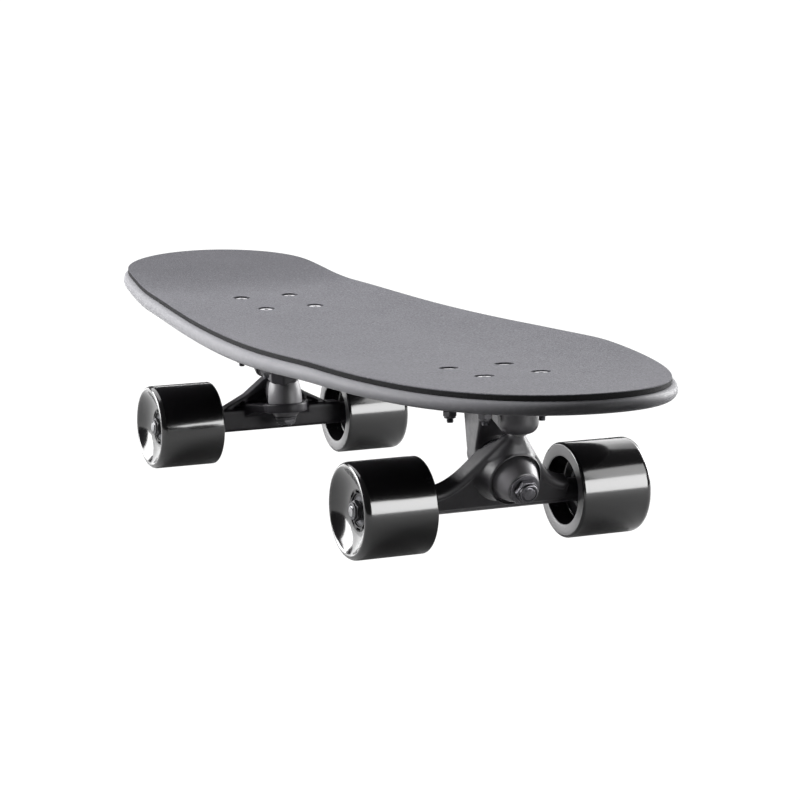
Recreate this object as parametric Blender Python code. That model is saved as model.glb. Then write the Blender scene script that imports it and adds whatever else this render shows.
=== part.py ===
# A cruiser skateboard: a moulded deck with a soft traction pad, a tall reverse-kingpin front truck
# with an upright A-frame hanger, a standard rear truck on a riser, and four wide urethane wheels.
# Metres. The ground is z = 0, the nose points to +X, and x = 0 is halfway between the two axles.

import math

import bmesh
import bpy
from mathutils import Matrix, Vector

# Fits: what touches, what turns inside something else, how far a cutter runs past a face, and
# how far a joined form reaches into its neighbour
TOUCH = 0.0003
RUN = 0.0004
PAST = 0.0020
ROOT = 0.0015

# Board
BOARD_LENGTH = 0.7415
BOARD_WIDTH = 0.2338
TAIL_THICKNESS = 0.0114
NOSE_THICKNESS = 0.0078
RIM_REACH = 0.0045
PAD_THICKNESS = 0.0036
PAD_EDGE = 0.0008
NOSE_FROM = 0.090
NOSE_POWER = 2.45
TAPER_FROM = 0.060
TAIL_TAPER = 0.025
TAPER_LENGTH = 0.300
TAPER_POWER = 1.2
TAIL_ROUND = 0.056
FLAT_SHARE = 0.34
CONCAVE_POWER = 1.8
FRONT_CONCAVE = 0.0088
FRONT_CONCAVE_AT = 0.150
REAR_CONCAVE = 0.0050
REAR_CONCAVE_AT = -0.185
KICK_ANGLE = 10.8
KICK_BLEND = 0.045
NOSE_LIFT = 0.0019
SEAT_REACH = 0.050

# Stance
AXLE_SPAN = 0.3955
WHEEL_RADIUS = 0.0325
FRONT_HEIGHT = 0.0744
REAR_HEIGHT = 0.0566
RISER_THICKNESS = 0.0240
FRONT_TILT = 1.6
REAR_TILT = 3.3
FRONT_HOLES_OUT = 0.0073
REAR_HOLES_IN = 0.0152
HOLE_LENGTH = 0.0540
HOLE_WIDTH = 0.0413

# Mounting hardware
BOLT_RADIUS = 0.0024
BOLT_HEAD_RADIUS = 0.0052
BOLT_HEAD_HEIGHT = 0.0024
BOLT_HEAD_PROUD = 0.0026
BOLT_TIP = 0.0030
PAD_HOLE_RADIUS = 0.0068
NUT_FLATS = 0.0087
NUT_HEIGHT = 0.0050

# Baseplates
PLATE_THICKNESS = 0.0080
PLATE_WIDTH = 0.0560
PLATE_CORNER = 0.0080
PLATE_EDGE = 0.0015
FRONT_PLATE_IN = 0.0370
FRONT_PLATE_OUT = 0.0460
REAR_PLATE_IN = 0.0400
REAR_PLATE_OUT = 0.0440
FRONT_LUG_OUT = 0.0035
FRONT_LUG_IN = 0.0076
LUG_RADIUS = 0.0055
LEG_HALF_WIDTH = 0.0148
LEG_DEPTH = 0.0170
LEG_ROOT = 0.0300
LEG_TOE = 0.0035
GUSSET_DEPTH = 0.0045
GUSSET_RISE = 0.0020
GUSSET_THICKNESS = 0.0160
PIN_BOSS_FLARE = 0.0040
SEAT_WALL = 0.0012

# Kingpins and bushings
KINGPIN_RADIUS = 0.00475
KINGPIN_FLATS = 0.0143
KINGPIN_HEAD = 0.0050
KINGPIN_TIP = 0.0007
HEAD_SUNK = 0.0020
BUSHING_RADIUS = 0.0140
BUSHING_BULGE = 0.0006
BOARD_BUSHING = 0.0135
WASHER_THICKNESS = 0.0013
RING_PLAY = 0.00475

# Pivots: the cup's walls, and how far the cup and its boss reach below the ball's centre
PIVOT_RADIUS = 0.0045
CUP_WALL = 0.0022
CUP_SKIRT = 0.0035
PIVOT_WALL = 0.0063
BOSS_DROP = 0.0050
BOSS_ROUND = 0.0045
CUP_BLOCK_WALL = 0.0035

# Front truck: (outward, up) from the middle of the axle
FRONT_RING = (0.02385, 0.0222)
FRONT_KINGPIN_ANGLE = 19.0
FRONT_STEER_ANGLE = 29.4
FRONT_PIVOT_UP = 0.0365
FRONT_NECK = 0.0185
FRONT_NECK_BASE = 0.0090
FRONT_ROAD_BUSHING = 0.0155
FRONT_ROAD_TOP = 0.0106
FRONT_NUT = 0.0062
FRONT_COLLAR_WALL = 0.0038
FRONT_COLLAR_IN = 0.0078
FRONT_COLLAR_OUT = 0.0140
FRONT_COLLAR_FLARE = 0.0040
FRONT_SEAT_DEPTH = 0.0035

# The A-frame's outline: half widths, and heights along the steering axis from the ring
APEX_HALF = 0.0055
APEX_UP = 0.0303
APEX_GAP = 0.0020
SHOULDER_HALF = 0.0280
SHOULDER_DOWN = 0.0011
ARM_HALF = 0.0515
ARM_DOWN = 0.0165
FOOT_DOWN = 0.0310
FOOT_CORNER = 0.0050
FACE_OUT = 0.0016
FACE_DEPTH = 0.0130
FACE_SKIN = 0.0050
FACE_EDGE = 0.0014
POCKET_WALL = 0.0045

# Rear truck
REAR_RING = (-0.02675, 0.0117)
REAR_KINGPIN_ANGLE = 85.0
REAR_PIVOT = (0.0160, 0.0395)
REAR_ROAD_BUSHING = 0.0024
REAR_ROAD_BASE = 0.0106
REAR_ROAD_TOP = 0.0086
REAR_NUT = 0.0046
REAR_COLLAR_WALL = 0.0020
REAR_RING_HALF = 0.0036
REAR_SEAT_DEPTH = 0.0008
REAR_NECK_BASE = 0.0085
YOKE_HALF = 0.0300
WEB_APEX_HALF = 0.0090
WEB_APEX_UP = 0.0359
WEB_SHOULDER_HALF = 0.0260
WEB_SHOULDER_UP = 0.0235
WEB_ARM_HALF = 0.0430
WEB_ARM_UP = 0.0135
WEB_HALF = 0.0065
WEB_POCKET = 0.0095
WEB_RIB = 0.0035
BODY_HALF = 0.0082
BODY_EDGE = 0.0022
BODY_REACH = 0.0560

# Axles and wheels: along the axle, from the middle of the wheel outward
AXLE_RADIUS = 0.0040
BAR_RADIUS = 0.0080
BAR_EDGE = 0.0010
WHEEL_OFFSET = 0.0790
WHEEL_WIDTH = 0.0520
TREAD_EDGE = 0.0045
INNER_EDGE = 0.0018
LIP_RADIUS = 0.0296
DISH_DEPTH = 0.0081
CORE_RADIUS = 0.0140
RECESS_RADIUS = 0.0232
RECESS_DEPTH = 0.0137
CORE_WAIST = 0.0085
CORE_POCKETS = 8
CORE_POCKET_DEPTH = 0.0035
CORE_RIM = 0.0008
BEARING_RADIUS = 0.0110
BEARING_WIDTH = 0.0070
BEARING_SINK = 0.0009
RACE_RADIUS = 0.0058
SLEEVE_PROUD = 0.0006
AXLE_NUT_FLATS = 0.0127
AXLE_NUT_HEIGHT = 0.0046
AXLE_TIP = 0.0008

# Facets of round pieces, stations along the board, where its columns run as shares of the half
# width, and the distance within which points are one
WHEEL_STEPS = 28
ROUND_STEPS = 18
SMALL_STEPS = 12
BOLT_STEPS = 8
CORNER_STEPS = 3
BOARD_STATIONS = 20
SIDE_SHARES = (FLAT_SHARE, 0.7, 1)
WELD = 1e-6

# Worked out from the sizes above
TIP = BOARD_LENGTH / 2 - RIM_REACH
PAD_HALF = BOARD_WIDTH / 2 - RIM_REACH
AXLE_HALF = AXLE_SPAN / 2
FRONT_HOLES_X = AXLE_HALF + FRONT_HOLES_OUT
REAR_HOLES_X = REAR_HOLES_IN - AXLE_HALF
FRONT_UNDER = WHEEL_RADIUS + FRONT_HEIGHT
REAR_UNDER = WHEEL_RADIUS + REAR_HEIGHT + RISER_THICKNESS
FRONT_SLOPE = math.tan(math.radians(FRONT_TILT))
REAR_SLOPE = -math.tan(math.radians(REAR_TILT))
KICK_SLOPE = math.tan(math.radians(KICK_ANGLE))
CUP_RADIUS = PIVOT_RADIUS + TOUCH + CUP_WALL
SEAT_RADIUS = BUSHING_RADIUS + BUSHING_BULGE + TOUCH
CORE_IN = RECESS_DEPTH - WHEEL_WIDTH / 2
CORE_OUT = WHEEL_WIDTH / 2 - DISH_DEPTH
BAR_END = WHEEL_OFFSET + CORE_IN - 2 * RUN
SLEEVE_IN = BAR_END + TOUCH - WHEEL_OFFSET
SLEEVE_OUT = CORE_OUT - BEARING_SINK + SLEEVE_PROUD


def clear_scene():
    for thing in list(bpy.data.objects):
        bpy.data.objects.remove(thing, do_unlink=True)


def material(name, colour, roughness, metallic=0.0):
    made = bpy.data.materials.new(name)
    made.use_nodes = True
    shader = made.node_tree.nodes["Principled BSDF"]
    shader.inputs["Base Color"].default_value = (*colour, 1.0)
    shader.inputs["Roughness"].default_value = roughness
    shader.inputs["Metallic"].default_value = metallic
    made.diffuse_color = (*colour, 1.0)
    return made


def empty(name, place, parent=None):
    made = bpy.data.objects.new(name, None)
    made.empty_display_size = WHEEL_RADIUS
    bpy.context.collection.objects.link(made)
    made.parent = parent
    made.matrix_basis = place
    return made


# An object from a shape, which is a bmesh, with its sharp edges kept sharp
def solid(name, shape, finish, parent=None, place=None):
    mesh = bpy.data.meshes.new(name)
    bmesh.ops.recalc_face_normals(shape, faces=shape.faces)
    shape.to_mesh(mesh)
    shape.free()
    mesh.shade_smooth()
    mesh.set_sharp_from_angle(angle=math.radians(32))
    if finish:
        mesh.materials.append(finish)
    made = bpy.data.objects.new(name, mesh)
    bpy.context.collection.objects.link(made)
    made.parent = parent
    made.matrix_basis = place or Matrix()
    return made


def tool(name, shape, parent=None, place=None):
    made = solid(name, shape, None, parent, place)
    made.hide_render = True
    made.display_type = "WIRE"
    return made


def combine(target, operation, other):
    step = target.modifiers.new(other.name, "BOOLEAN")
    step.operation = operation
    step.solver = "EXACT"
    step.object = other


def join(target, other):
    combine(target, "UNION", other)


def cut(target, other):
    combine(target, "DIFFERENCE", other)


def bevel(target, width):
    step = target.modifiers.new("rounded edges", "BEVEL")
    step.width = width
    step.segments = 1
    step.limit_method = "ANGLE"
    step.angle_limit = math.radians(40)


def in_flat_face(vert):
    return vert.co.xy.length < WELD and all(abs(face.normal.z) > 1 - WELD for face in vert.link_faces)


# A profile of (radius, height) points spun about Z. It starts and ends on the axis, or it is a
# closed loop round a bore. Flat ends are one face each.
def turned(profile, steps=ROUND_STEPS):
    shape = bmesh.new()
    corners = [shape.verts.new((radius, 0, height)) for radius, height in profile]
    pairs = list(zip(corners, corners[1:]))
    if profile[0][0] > 0:
        pairs.append((corners[-1], corners[0]))
    edges = [shape.edges.new(pair) for pair in pairs]
    spun = {"axis": (0, 0, 1), "cent": (0, 0, 0), "angle": math.tau, "steps": steps}
    bmesh.ops.spin(shape, geom=corners + edges, use_merge=True, **spun)
    bmesh.ops.remove_doubles(shape, verts=shape.verts, dist=WELD)
    shape.normal_update()
    bmesh.ops.dissolve_verts(shape, verts=[vert for vert in shape.verts if in_flat_face(vert)])
    return shape


def cylinder(radius, low, high, steps=ROUND_STEPS):
    return turned([(0, low), (radius, low), (radius, high), (0, high)], steps)


def tube(bore, radius, low, high, steps=ROUND_STEPS):
    return turned([(bore, low), (radius, low), (radius, high), (bore, high)], steps)


# Closed rings of equally many points, bridged one to the next and capped at both ends
def lofted(rings):
    shape = bmesh.new()
    loops = []
    for ring in rings:
        corners = [shape.verts.new(place) for place in ring]
        loops.append([shape.edges.new((corners[i - 1], corner)) for i, corner in enumerate(corners)])
    for low, high in zip(loops, loops[1:]):
        bmesh.ops.bridge_loops(shape, edges=low + high)
    bmesh.ops.edgeloop_fill(shape, edges=loops[0])
    bmesh.ops.edgeloop_fill(shape, edges=loops[-1])
    return shape


# An outline in the XY plane, extruded along Z
def prism(outline, low, high):
    return lofted([[(x, y, z) for x, y in outline] for z in (low, high)])


# An outline in the XZ plane, extruded to both sides
def side_prism(outline, half_width):
    return lofted([[(x, y, z) for x, z in outline] for y in (-half_width, half_width)])


# An outline in the YZ plane, extruded along X
def face_prism(outline, low, high):
    return lofted([[(x, y, z) for y, z in outline] for x in (low, high)])


def moved(shape, place):
    bmesh.ops.transform(shape, matrix=place, verts=shape.verts)
    return shape


# One shape at several places, in one mesh
def repeated(shape, places):
    pattern = bpy.data.meshes.new("pattern")
    shape.to_mesh(pattern)
    shape.free()
    every = bmesh.new()
    for place in places:
        known = len(every.verts)
        every.from_mesh(pattern)
        every.verts.ensure_lookup_table()
        bmesh.ops.transform(every, matrix=place, verts=every.verts[known:])
    bpy.data.meshes.remove(pattern)
    return every


def hexagon(flats):
    radius = flats / math.sqrt(3)
    return [(radius * math.cos(math.tau * i / 6), radius * math.sin(math.tau * i / 6)) for i in range(6)]


def arc(centre, radius, first, last, steps):
    angles = [math.radians(first + (last - first) * i / steps) for i in range(steps + 1)]
    return [(centre[0] + radius * math.cos(a), centre[1] + radius * math.sin(a)) for a in angles]


def rounded_rectangle(low, high, half_width, corner):
    outline = []
    for x, y, turn in (
        (high - corner, half_width - corner, 0),
        (low + corner, half_width - corner, 90),
        (low + corner, corner - half_width, 180),
        (high - corner, corner - half_width, 270),
    ):
        outline += arc((x, y), corner, turn, turn + 90, CORNER_STEPS)
    return outline


# A symmetrical outline from the half of it on the positive side
def both_sides(half):
    return half + [(-across, up) for across, up in reversed(half)]


def shifted(x, y, z):
    return Matrix.Translation((x, y, z))


def frame(origin, x_axis, z_axis):
    z = Vector(z_axis).normalized()
    y = z.cross(Vector(x_axis)).normalized()
    turn = Matrix((y.cross(z), y, z)).transposed().to_4x4()
    return Matrix.Translation(origin) @ turn


# A frame in a truck's side plane, at (outward, up), with Z along a direction in that plane
def side_frame(at, way):
    return frame((at[0], 0, at[1]), (way[1], 0, -way[0]), (way[0], 0, way[1]))


def way_at(degrees_above_outward):
    angle = math.radians(degrees_above_outward)
    return Vector((math.cos(angle), math.sin(angle)))


# Half the pad's width at x: a full curve to the nose, a slow taper and a short round at the tail
def half_width(x):
    if x >= NOSE_FROM:
        share = min(1.0, (x - NOSE_FROM) / (TIP - NOSE_FROM))
        return PAD_HALF * math.sqrt(1 - share**NOSE_POWER)
    taper = TAIL_TAPER * (max(0.0, TAPER_FROM - x) / TAPER_LENGTH) ** TAPER_POWER
    into_round = min(1.0, max(0.0, (TAIL_ROUND - TIP - x) / TAIL_ROUND))
    return (PAD_HALF - taper) * math.sqrt(1 - into_round**2)


# Height of the deck's underside on the centre line: two straight seats for the trucks, a smooth
# curve between them, a slight lift to the nose and the kick at the tail
def under(x):
    from_front = x - FRONT_HOLES_X
    from_rear = x - REAR_HOLES_X
    if from_front >= -SEAT_REACH:
        past = max(0.0, from_front - SEAT_REACH)
        lift = NOSE_LIFT * (past / (TIP - FRONT_HOLES_X - SEAT_REACH)) ** 2
        return FRONT_UNDER + FRONT_SLOPE * from_front + lift
    if from_rear <= SEAT_REACH:
        past = max(0.0, -SEAT_REACH - from_rear)
        bent = min(past, KICK_BLEND)
        kick = bent * bent / (2 * KICK_BLEND) + past - bent
        return REAR_UNDER + REAR_SLOPE * from_rear + (KICK_SLOPE + REAR_SLOPE) * kick
    length = FRONT_HOLES_X - REAR_HOLES_X - 2 * SEAT_REACH
    t = (from_rear - SEAT_REACH) / length
    low = REAR_UNDER + REAR_SLOPE * SEAT_REACH
    high = FRONT_UNDER - FRONT_SLOPE * SEAT_REACH
    ends = (2 * t**3 - 3 * t**2 + 1) * low + (3 * t**2 - 2 * t**3) * high
    slopes = (t**3 - 2 * t**2 + t) * REAR_SLOPE + (t**3 - t**2) * FRONT_SLOPE
    return ends + length * slopes


# How far the edge stands above the centre line at x
def concave(x):
    if x >= FRONT_CONCAVE_AT:
        return FRONT_CONCAVE * max(0.0, (TIP - x) / (TIP - FRONT_CONCAVE_AT)) ** 1.5
    if x <= REAR_CONCAVE_AT:
        return REAR_CONCAVE * (1 - ((REAR_CONCAVE_AT - x) / (TIP + REAR_CONCAVE_AT)) ** 2)
    t = (x - REAR_CONCAVE_AT) / (FRONT_CONCAVE_AT - REAR_CONCAVE_AT)
    return REAR_CONCAVE + (FRONT_CONCAVE - REAR_CONCAVE) * t * t * (3 - 2 * t)


# Height of the underside at x and at a share of the half width: flat in the middle, where the
# trucks sit, and curved up to the edges
def underside(x, share):
    rise = max(0.0, (abs(share) - FLAT_SHARE) / (1 - FLAT_SHARE)) ** CONCAVE_POWER
    return under(x) + concave(x) * rise


def thickness(x):
    return TAIL_THICKNESS + (NOSE_THICKNESS - TAIL_THICKNESS) * (x + TIP) / (2 * TIP)


# Stations along the board, closer together at the tips, with one at each end of the truck seats
def stations():
    seats = [x + side * SEAT_REACH for x in (FRONT_HOLES_X, REAR_HOLES_X) for side in (-1, 1)]
    spread = [-TIP * math.cos(math.pi * i / BOARD_STATIONS) for i in range(1, BOARD_STATIONS)]
    free = [x for x in spread if min(abs(x - seat) for seat in seats) > TIP / BOARD_STATIONS / 2]
    return sorted([-TIP, TIP] + free + seats)


# The direction square to the outline, seen from above
def outward(x, y):
    if abs(y) < WELD:
        return Vector((math.copysign(1, x), 0))
    step = TIP / 1000
    slope = (half_width(x + step) - half_width(x - step)) / (2 * step)
    return Vector((-slope, math.copysign(1, y))).normalized()


# A sheet laid over the board. Its lower and upper faces stand at their own heights over the
# underside, and rows run round its rim, each at (reach beyond the outline, share of the way up).
def board_sheet(lower, upper, rim):
    columns = [-share for share in reversed(SIDE_SHARES)] + list(SIDE_SHARES)
    sheet = bmesh.new()
    edges = []
    for lift in (lower, upper):
        rows = []
        for x in stations():
            places = [(x, share * half_width(x), underside(x, share) + lift(x)) for share in columns]
            rows.append([sheet.verts.new(place) for place in places])
        for near, far in zip(rows, rows[1:]):
            for i in range(len(columns) - 1):
                sheet.faces.new((near[i], near[i + 1], far[i + 1], far[i]))
        edges.append([row[-1] for row in rows] + [row[0] for row in reversed(rows[1:-1])])
    loops = [edges[0]]
    for reach, share in rim:
        row = []
        for corner in edges[0]:
            x, y = corner.co.x, corner.co.y
            out = outward(x, y) * reach
            height = underside(x, 1) + (1 - share) * lower(x) + share * upper(x)
            row.append(sheet.verts.new((x + out.x, y + out.y, height)))
        loops.append(row)
    loops.append(edges[1])
    for low, high in zip(loops, loops[1:]):
        for i in range(len(low)):
            sheet.faces.new((low[i - 1], low[i], high[i], high[i - 1]))
    bmesh.ops.remove_doubles(sheet, verts=sheet.verts, dist=WELD)
    return sheet


def deck_shape():
    turns = [math.radians(degrees) for degrees in (-55, 0, 55)]
    rim = [(RIM_REACH * math.cos(turn), 0.5 + 0.5 * math.sin(turn)) for turn in turns]
    return board_sheet(lambda x: 0.0, thickness, rim)


def pad_shape():
    def low(x):
        return thickness(x) + TOUCH

    def high(x):
        return low(x) + PAD_THICKNESS

    edge_share = PAD_EDGE / PAD_THICKNESS
    return board_sheet(low, high, [(PAD_EDGE, edge_share), (PAD_EDGE, 1 - edge_share)])


# Everything about one end of the board that several pieces share. Places in a truck are
# (outward, up) from the middle of its axle. Heights along its kingpin start at the ring's
# centre and grow toward the nut.
class Truck:
    def __init__(self, end):
        self.end = end
        if end == "front":
            self.frame = shifted(AXLE_HALF, 0, WHEEL_RADIUS)
            self.seat_frame = frame(
                (FRONT_HOLES_X, 0, FRONT_UNDER), (1, 0, FRONT_SLOPE), (-FRONT_SLOPE, 0, 1)
            )
            self.plate_top = -TOUCH
            self.lug_out, self.lug_in = FRONT_LUG_OUT, FRONT_LUG_IN
            self.deck_top = thickness(FRONT_HOLES_X) * math.cos(math.radians(FRONT_TILT))
            self.ring = Vector(FRONT_RING)
            self.kingpin_way = way_at(-FRONT_KINGPIN_ANGLE)
            self.steer_way = way_at(90 - FRONT_STEER_ANGLE)
            self.pivot = self.ring + self.steer_way * FRONT_PIVOT_UP
            self.road_floor = FRONT_COLLAR_OUT - FRONT_SEAT_DEPTH
            self.board_floor = FRONT_SEAT_DEPTH - FRONT_COLLAR_IN
            road_bushing, washer_gap, nut = FRONT_ROAD_BUSHING, TOUCH, FRONT_NUT
        else:
            self.frame = shifted(-AXLE_HALF, 0, WHEEL_RADIUS) @ Matrix.Rotation(math.pi, 4, "Z")
            self.seat_frame = frame(
                (REAR_HOLES_X, 0, REAR_UNDER), (-1, 0, -REAR_SLOPE), (-REAR_SLOPE, 0, 1)
            )
            self.plate_top = -RISER_THICKNESS - 2 * TOUCH
            self.lug_out = self.lug_in = 0.0
            self.deck_top = thickness(REAR_HOLES_X) * math.cos(math.radians(REAR_TILT))
            self.ring = Vector(REAR_RING)
            self.kingpin_way = way_at(180 + REAR_KINGPIN_ANGLE)
            self.pivot = Vector(REAR_PIVOT)
            self.steer_way = (self.pivot - self.ring).normalized()
            self.road_floor = REAR_RING_HALF - REAR_SEAT_DEPTH
            self.board_floor = -self.road_floor
            road_bushing, washer_gap, nut = REAR_ROAD_BUSHING, 0.0, REAR_NUT
        self.plate_low = self.plate_top - PLATE_THICKNESS
        self.board_seat = self.board_floor - BOARD_BUSHING - 2 * TOUCH
        self.washer_low = self.road_floor + road_bushing + 2 * TOUCH
        self.nut_low = self.washer_low + WASHER_THICKNESS + washer_gap
        self.nut_high = self.nut_low + nut
        self.pin_end = self.nut_high + KINGPIN_TIP
        self.steer_reach = (self.pivot - self.ring).length
        self.root = empty(end + "_truck", self.frame)
        self.plate = empty(end + "_mounting", self.seat_frame)
        self.pin = empty(end + "_kingpin_line", side_frame(self.ring, self.kingpin_way), self.root)
        self.cup = empty(end + "_pivot_line", side_frame(self.pivot, self.steer_way), self.root)
        self.steer = empty(end + "_steer", side_frame(self.ring, self.steer_way), self.root)

    # How far a line from a point runs along a direction until it is halfway into the plate
    def run_to_plate(self, start, way):
        inward = self.seat_frame.inverted() @ self.frame
        height = (inward @ Vector((start[0], 0, start[1]))).z
        rise = (inward.to_3x3() @ Vector((way[0], 0, way[1]))).z
        return (self.plate_low + PLATE_THICKNESS / 2 - height) / rise

    # The point halfway into the plate, straight above a point so far outward
    def in_plate(self, across):
        return Vector((across, self.run_to_plate((across, 0), (0, 1))))


def hole_places():
    corners = [(x, y) for x in (1, -1) for y in (1, -1)]
    return [shifted(x * HOLE_LENGTH / 2, y * HOLE_WIDTH / 2, 0) for x, y in corners]


# A bolt whose head is countersunk and stands a little above the deck, within the pad's hole
def bolt_shape(truck, nut_low):
    top = truck.deck_top
    high, end = top + BOLT_HEAD_PROUD, nut_low - BOLT_TIP
    profile = [(0, high), (BOLT_HEAD_RADIUS, high), (BOLT_HEAD_RADIUS, top)]
    profile += [(BOLT_RADIUS, top - BOLT_HEAD_HEIGHT), (BOLT_RADIUS, end), (0, end)]
    return turned(profile, BOLT_STEPS)


# The room that a bolt needs: a countersink in the deck and a clearance hole below it
def bolt_space(truck):
    top = truck.deck_top
    wide = BOLT_HEAD_RADIUS + TOUCH
    narrow = BOLT_RADIUS + TOUCH
    low = truck.plate_low - truck.lug_in - PAST
    profile = [(0, top + PAST), (wide, top + PAST), (wide, top - TOUCH)]
    profile += [(narrow, top - TOUCH - BOLT_HEAD_HEIGHT), (narrow, low), (0, low)]
    return turned(profile, BOLT_STEPS)


def make_bolts(truck, finish):
    for number, place in enumerate(hole_places(), 1):
        lug = truck.lug_out if place.translation.x > 0 else truck.lug_in
        nut_top = truck.plate_low - lug - TOUCH
        nut_low = nut_top - NUT_HEIGHT
        shape = bolt_shape(truck, nut_low)
        solid(f"{truck.end}_bolt_{number}", shape, finish["black_steel"], truck.plate, place)
        shape = prism(hexagon(NUT_FLATS), nut_low, nut_top)
        nut = solid(f"{truck.end}_lock_nut_{number}", shape, finish["zinc"], truck.plate, place)
        bore = cylinder(BOLT_RADIUS + TOUCH, nut_low - PAST, nut_top + PAST, BOLT_STEPS)
        cut(nut, tool(nut.name + "_bore", bore, nut))


def make_board(trucks, finish):
    deck = solid("deck", deck_shape(), finish["deck"])
    pad = solid("grip_pad", pad_shape(), finish["pad"])
    for truck in trucks:
        spaces = repeated(bolt_space(truck), hole_places())
        truck.bolt_spaces = tool(truck.end + "_bolt_spaces", spaces, truck.plate)
        cut(deck, truck.bolt_spaces)
        hole = cylinder(PAD_HOLE_RADIUS, 0, truck.deck_top + PAD_THICKNESS + 2 * PAST, SMALL_STEPS)
        cut(pad, tool(truck.end + "_pad_holes", repeated(hole, hole_places()), truck.plate))
        make_bolts(truck, finish)


def make_riser(truck, finish):
    outline = rounded_rectangle(-REAR_PLATE_IN, REAR_PLATE_OUT, PLATE_WIDTH / 2, PLATE_CORNER)
    shape = prism(outline, -TOUCH - RISER_THICKNESS, -TOUCH)
    riser = solid("rear_riser", shape, finish["rubber"], truck.plate)
    cut(riser, truck.bolt_spaces)


# A kingpin with a hex head where head_at says that it bears, and its nut
def make_kingpin(truck, finish):
    name = truck.end + "_kingpin"
    radius = KINGPIN_RADIUS
    head_high = truck.head_at - TOUCH
    head_low = head_high - KINGPIN_HEAD
    chamfer = KINGPIN_TIP
    profile = [(0, head_low + ROOT), (radius, head_low + ROOT), (radius, truck.pin_end - chamfer)]
    profile += [(radius - chamfer, truck.pin_end), (0, truck.pin_end)]
    pin = solid(name, turned(profile, SMALL_STEPS), finish["black_steel"], truck.pin)
    head = prism(hexagon(KINGPIN_FLATS), head_low, head_high)
    join(pin, tool(name + "_head", head, truck.pin))
    shape = prism(hexagon(KINGPIN_FLATS), truck.nut_low, truck.nut_high)
    nut = solid(name + "_nut", shape, finish["zinc"], truck.pin)
    if truck.end == "rear":
        flange = cylinder(REAR_ROAD_TOP, truck.washer_low, truck.nut_low + ROOT / 2)
        join(nut, tool(name + "_nut_flange", flange, truck.pin))
    bore = cylinder(radius + TOUCH, truck.washer_low - PAST, truck.nut_high + PAST, SMALL_STEPS)
    cut(nut, tool(name + "_nut_bore", bore, truck.pin))
    if truck.end == "front":
        washer = tube(radius + TOUCH, FRONT_ROAD_TOP, truck.washer_low, truck.nut_low - TOUCH)
        solid(name + "_washer", washer, finish["black_steel"], truck.pin)


# A bushing from its base to its top, a little wider at mid height
def bushing_shape(low, high, base, top):
    bore = KINGPIN_RADIUS + TOUCH
    middle = (base + top) / 2 + BUSHING_BULGE
    profile = [(bore, low), (base, low), (middle, (low + high) / 2), (top, high), (bore, high)]
    return turned(profile)


def make_bushings(truck, finish):
    low, high = truck.board_seat + TOUCH, truck.board_floor - TOUCH
    shape = bushing_shape(low, high, BUSHING_RADIUS, BUSHING_RADIUS)
    solid(truck.end + "_board_bushing", shape, finish["bushing"], truck.pin)
    low, high = truck.road_floor + TOUCH, truck.washer_low - TOUCH
    base, top = BUSHING_RADIUS, FRONT_ROAD_TOP
    if truck.end == "rear":
        base, top = REAR_ROAD_BASE, REAR_ROAD_TOP
    solid(truck.end + "_road_bushing", bushing_shape(low, high, base, top), finish["bushing"], truck.pin)


# The pivot cup: a blind socket whose round floor holds the pivot's ball end
def make_pivot_cup(truck, finish):
    inner = PIVOT_RADIUS + TOUCH
    outer = [(0, inner + CUP_WALL), (CUP_RADIUS, inner + CUP_WALL), (CUP_RADIUS, -CUP_SKIRT)]
    hollow = [(inner, -CUP_SKIRT)] + arc((0, 0), inner, 0, 90, 3)[:-1] + [(0, inner)]
    solid(truck.end + "_pivot_cup", turned(outer + hollow, SMALL_STEPS), finish["cup"], truck.cup)


def cup_space(truck):
    low = -CUP_SKIRT - BOSS_DROP - CUP_RADIUS
    high = PIVOT_RADIUS + CUP_WALL + 2 * TOUCH
    return tool(truck.end + "_cup_space", cylinder(CUP_RADIUS + TOUCH, low, high, SMALL_STEPS), truck.cup)


# Where the kingpin passes: a hole up to the board-side seat, and the room for its head
def kingpin_space(truck):
    narrow = KINGPIN_RADIUS + TOUCH
    wide = KINGPIN_FLATS / math.sqrt(3) + TOUCH
    low = truck.head_at - KINGPIN_HEAD - LEG_DEPTH
    profile = [(0, low), (wide, low), (wide, truck.head_at), (narrow, truck.head_at)]
    profile += [(narrow, truck.board_seat + PAST), (0, truck.board_seat + PAST)]
    return tool(truck.end + "_kingpin_space", turned(profile, SMALL_STEPS), truck.pin)


# The round face that the board-side bushing presses on
def seat_disc(truck, depth):
    shape = cylinder(SEAT_RADIUS, truck.board_seat - depth, truck.board_seat)
    return tool(truck.end + "_bushing_seat", shape, truck.pin)


# The mounting plate, with its lower edge chamfered
def mounting_plate(truck, reach_in, reach_out, finish):
    half = PLATE_WIDTH / 2
    wide = rounded_rectangle(-reach_in, reach_out, half, PLATE_CORNER)
    slim = rounded_rectangle(PLATE_EDGE - reach_in, reach_out - PLATE_EDGE, half - PLATE_EDGE, PLATE_CORNER)
    levels = ((slim, truck.plate_low), (wide, truck.plate_low + PLATE_EDGE), (wide, truck.plate_top))
    shape = lofted([[(x, y, z) for x, y in outline] for outline, z in levels])
    return solid(truck.end + "_baseplate", shape, finish["cast"], truck.plate)


# Round lugs that the front lock nuts bear on, longer at the leg's end of the plate
def join_lugs(plate, truck):
    for word, lug, toward in (("out", truck.lug_out, 1), ("in", truck.lug_in, -1)):
        places = [place for place in hole_places() if place.translation.x * toward > 0]
        low, high = truck.plate_low - lug, truck.plate_low + PLATE_EDGE
        shape = repeated(cylinder(LUG_RADIUS, low, high, SMALL_STEPS), places)
        join(plate, tool("front_lugs_" + word, shape, truck.plate))


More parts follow.
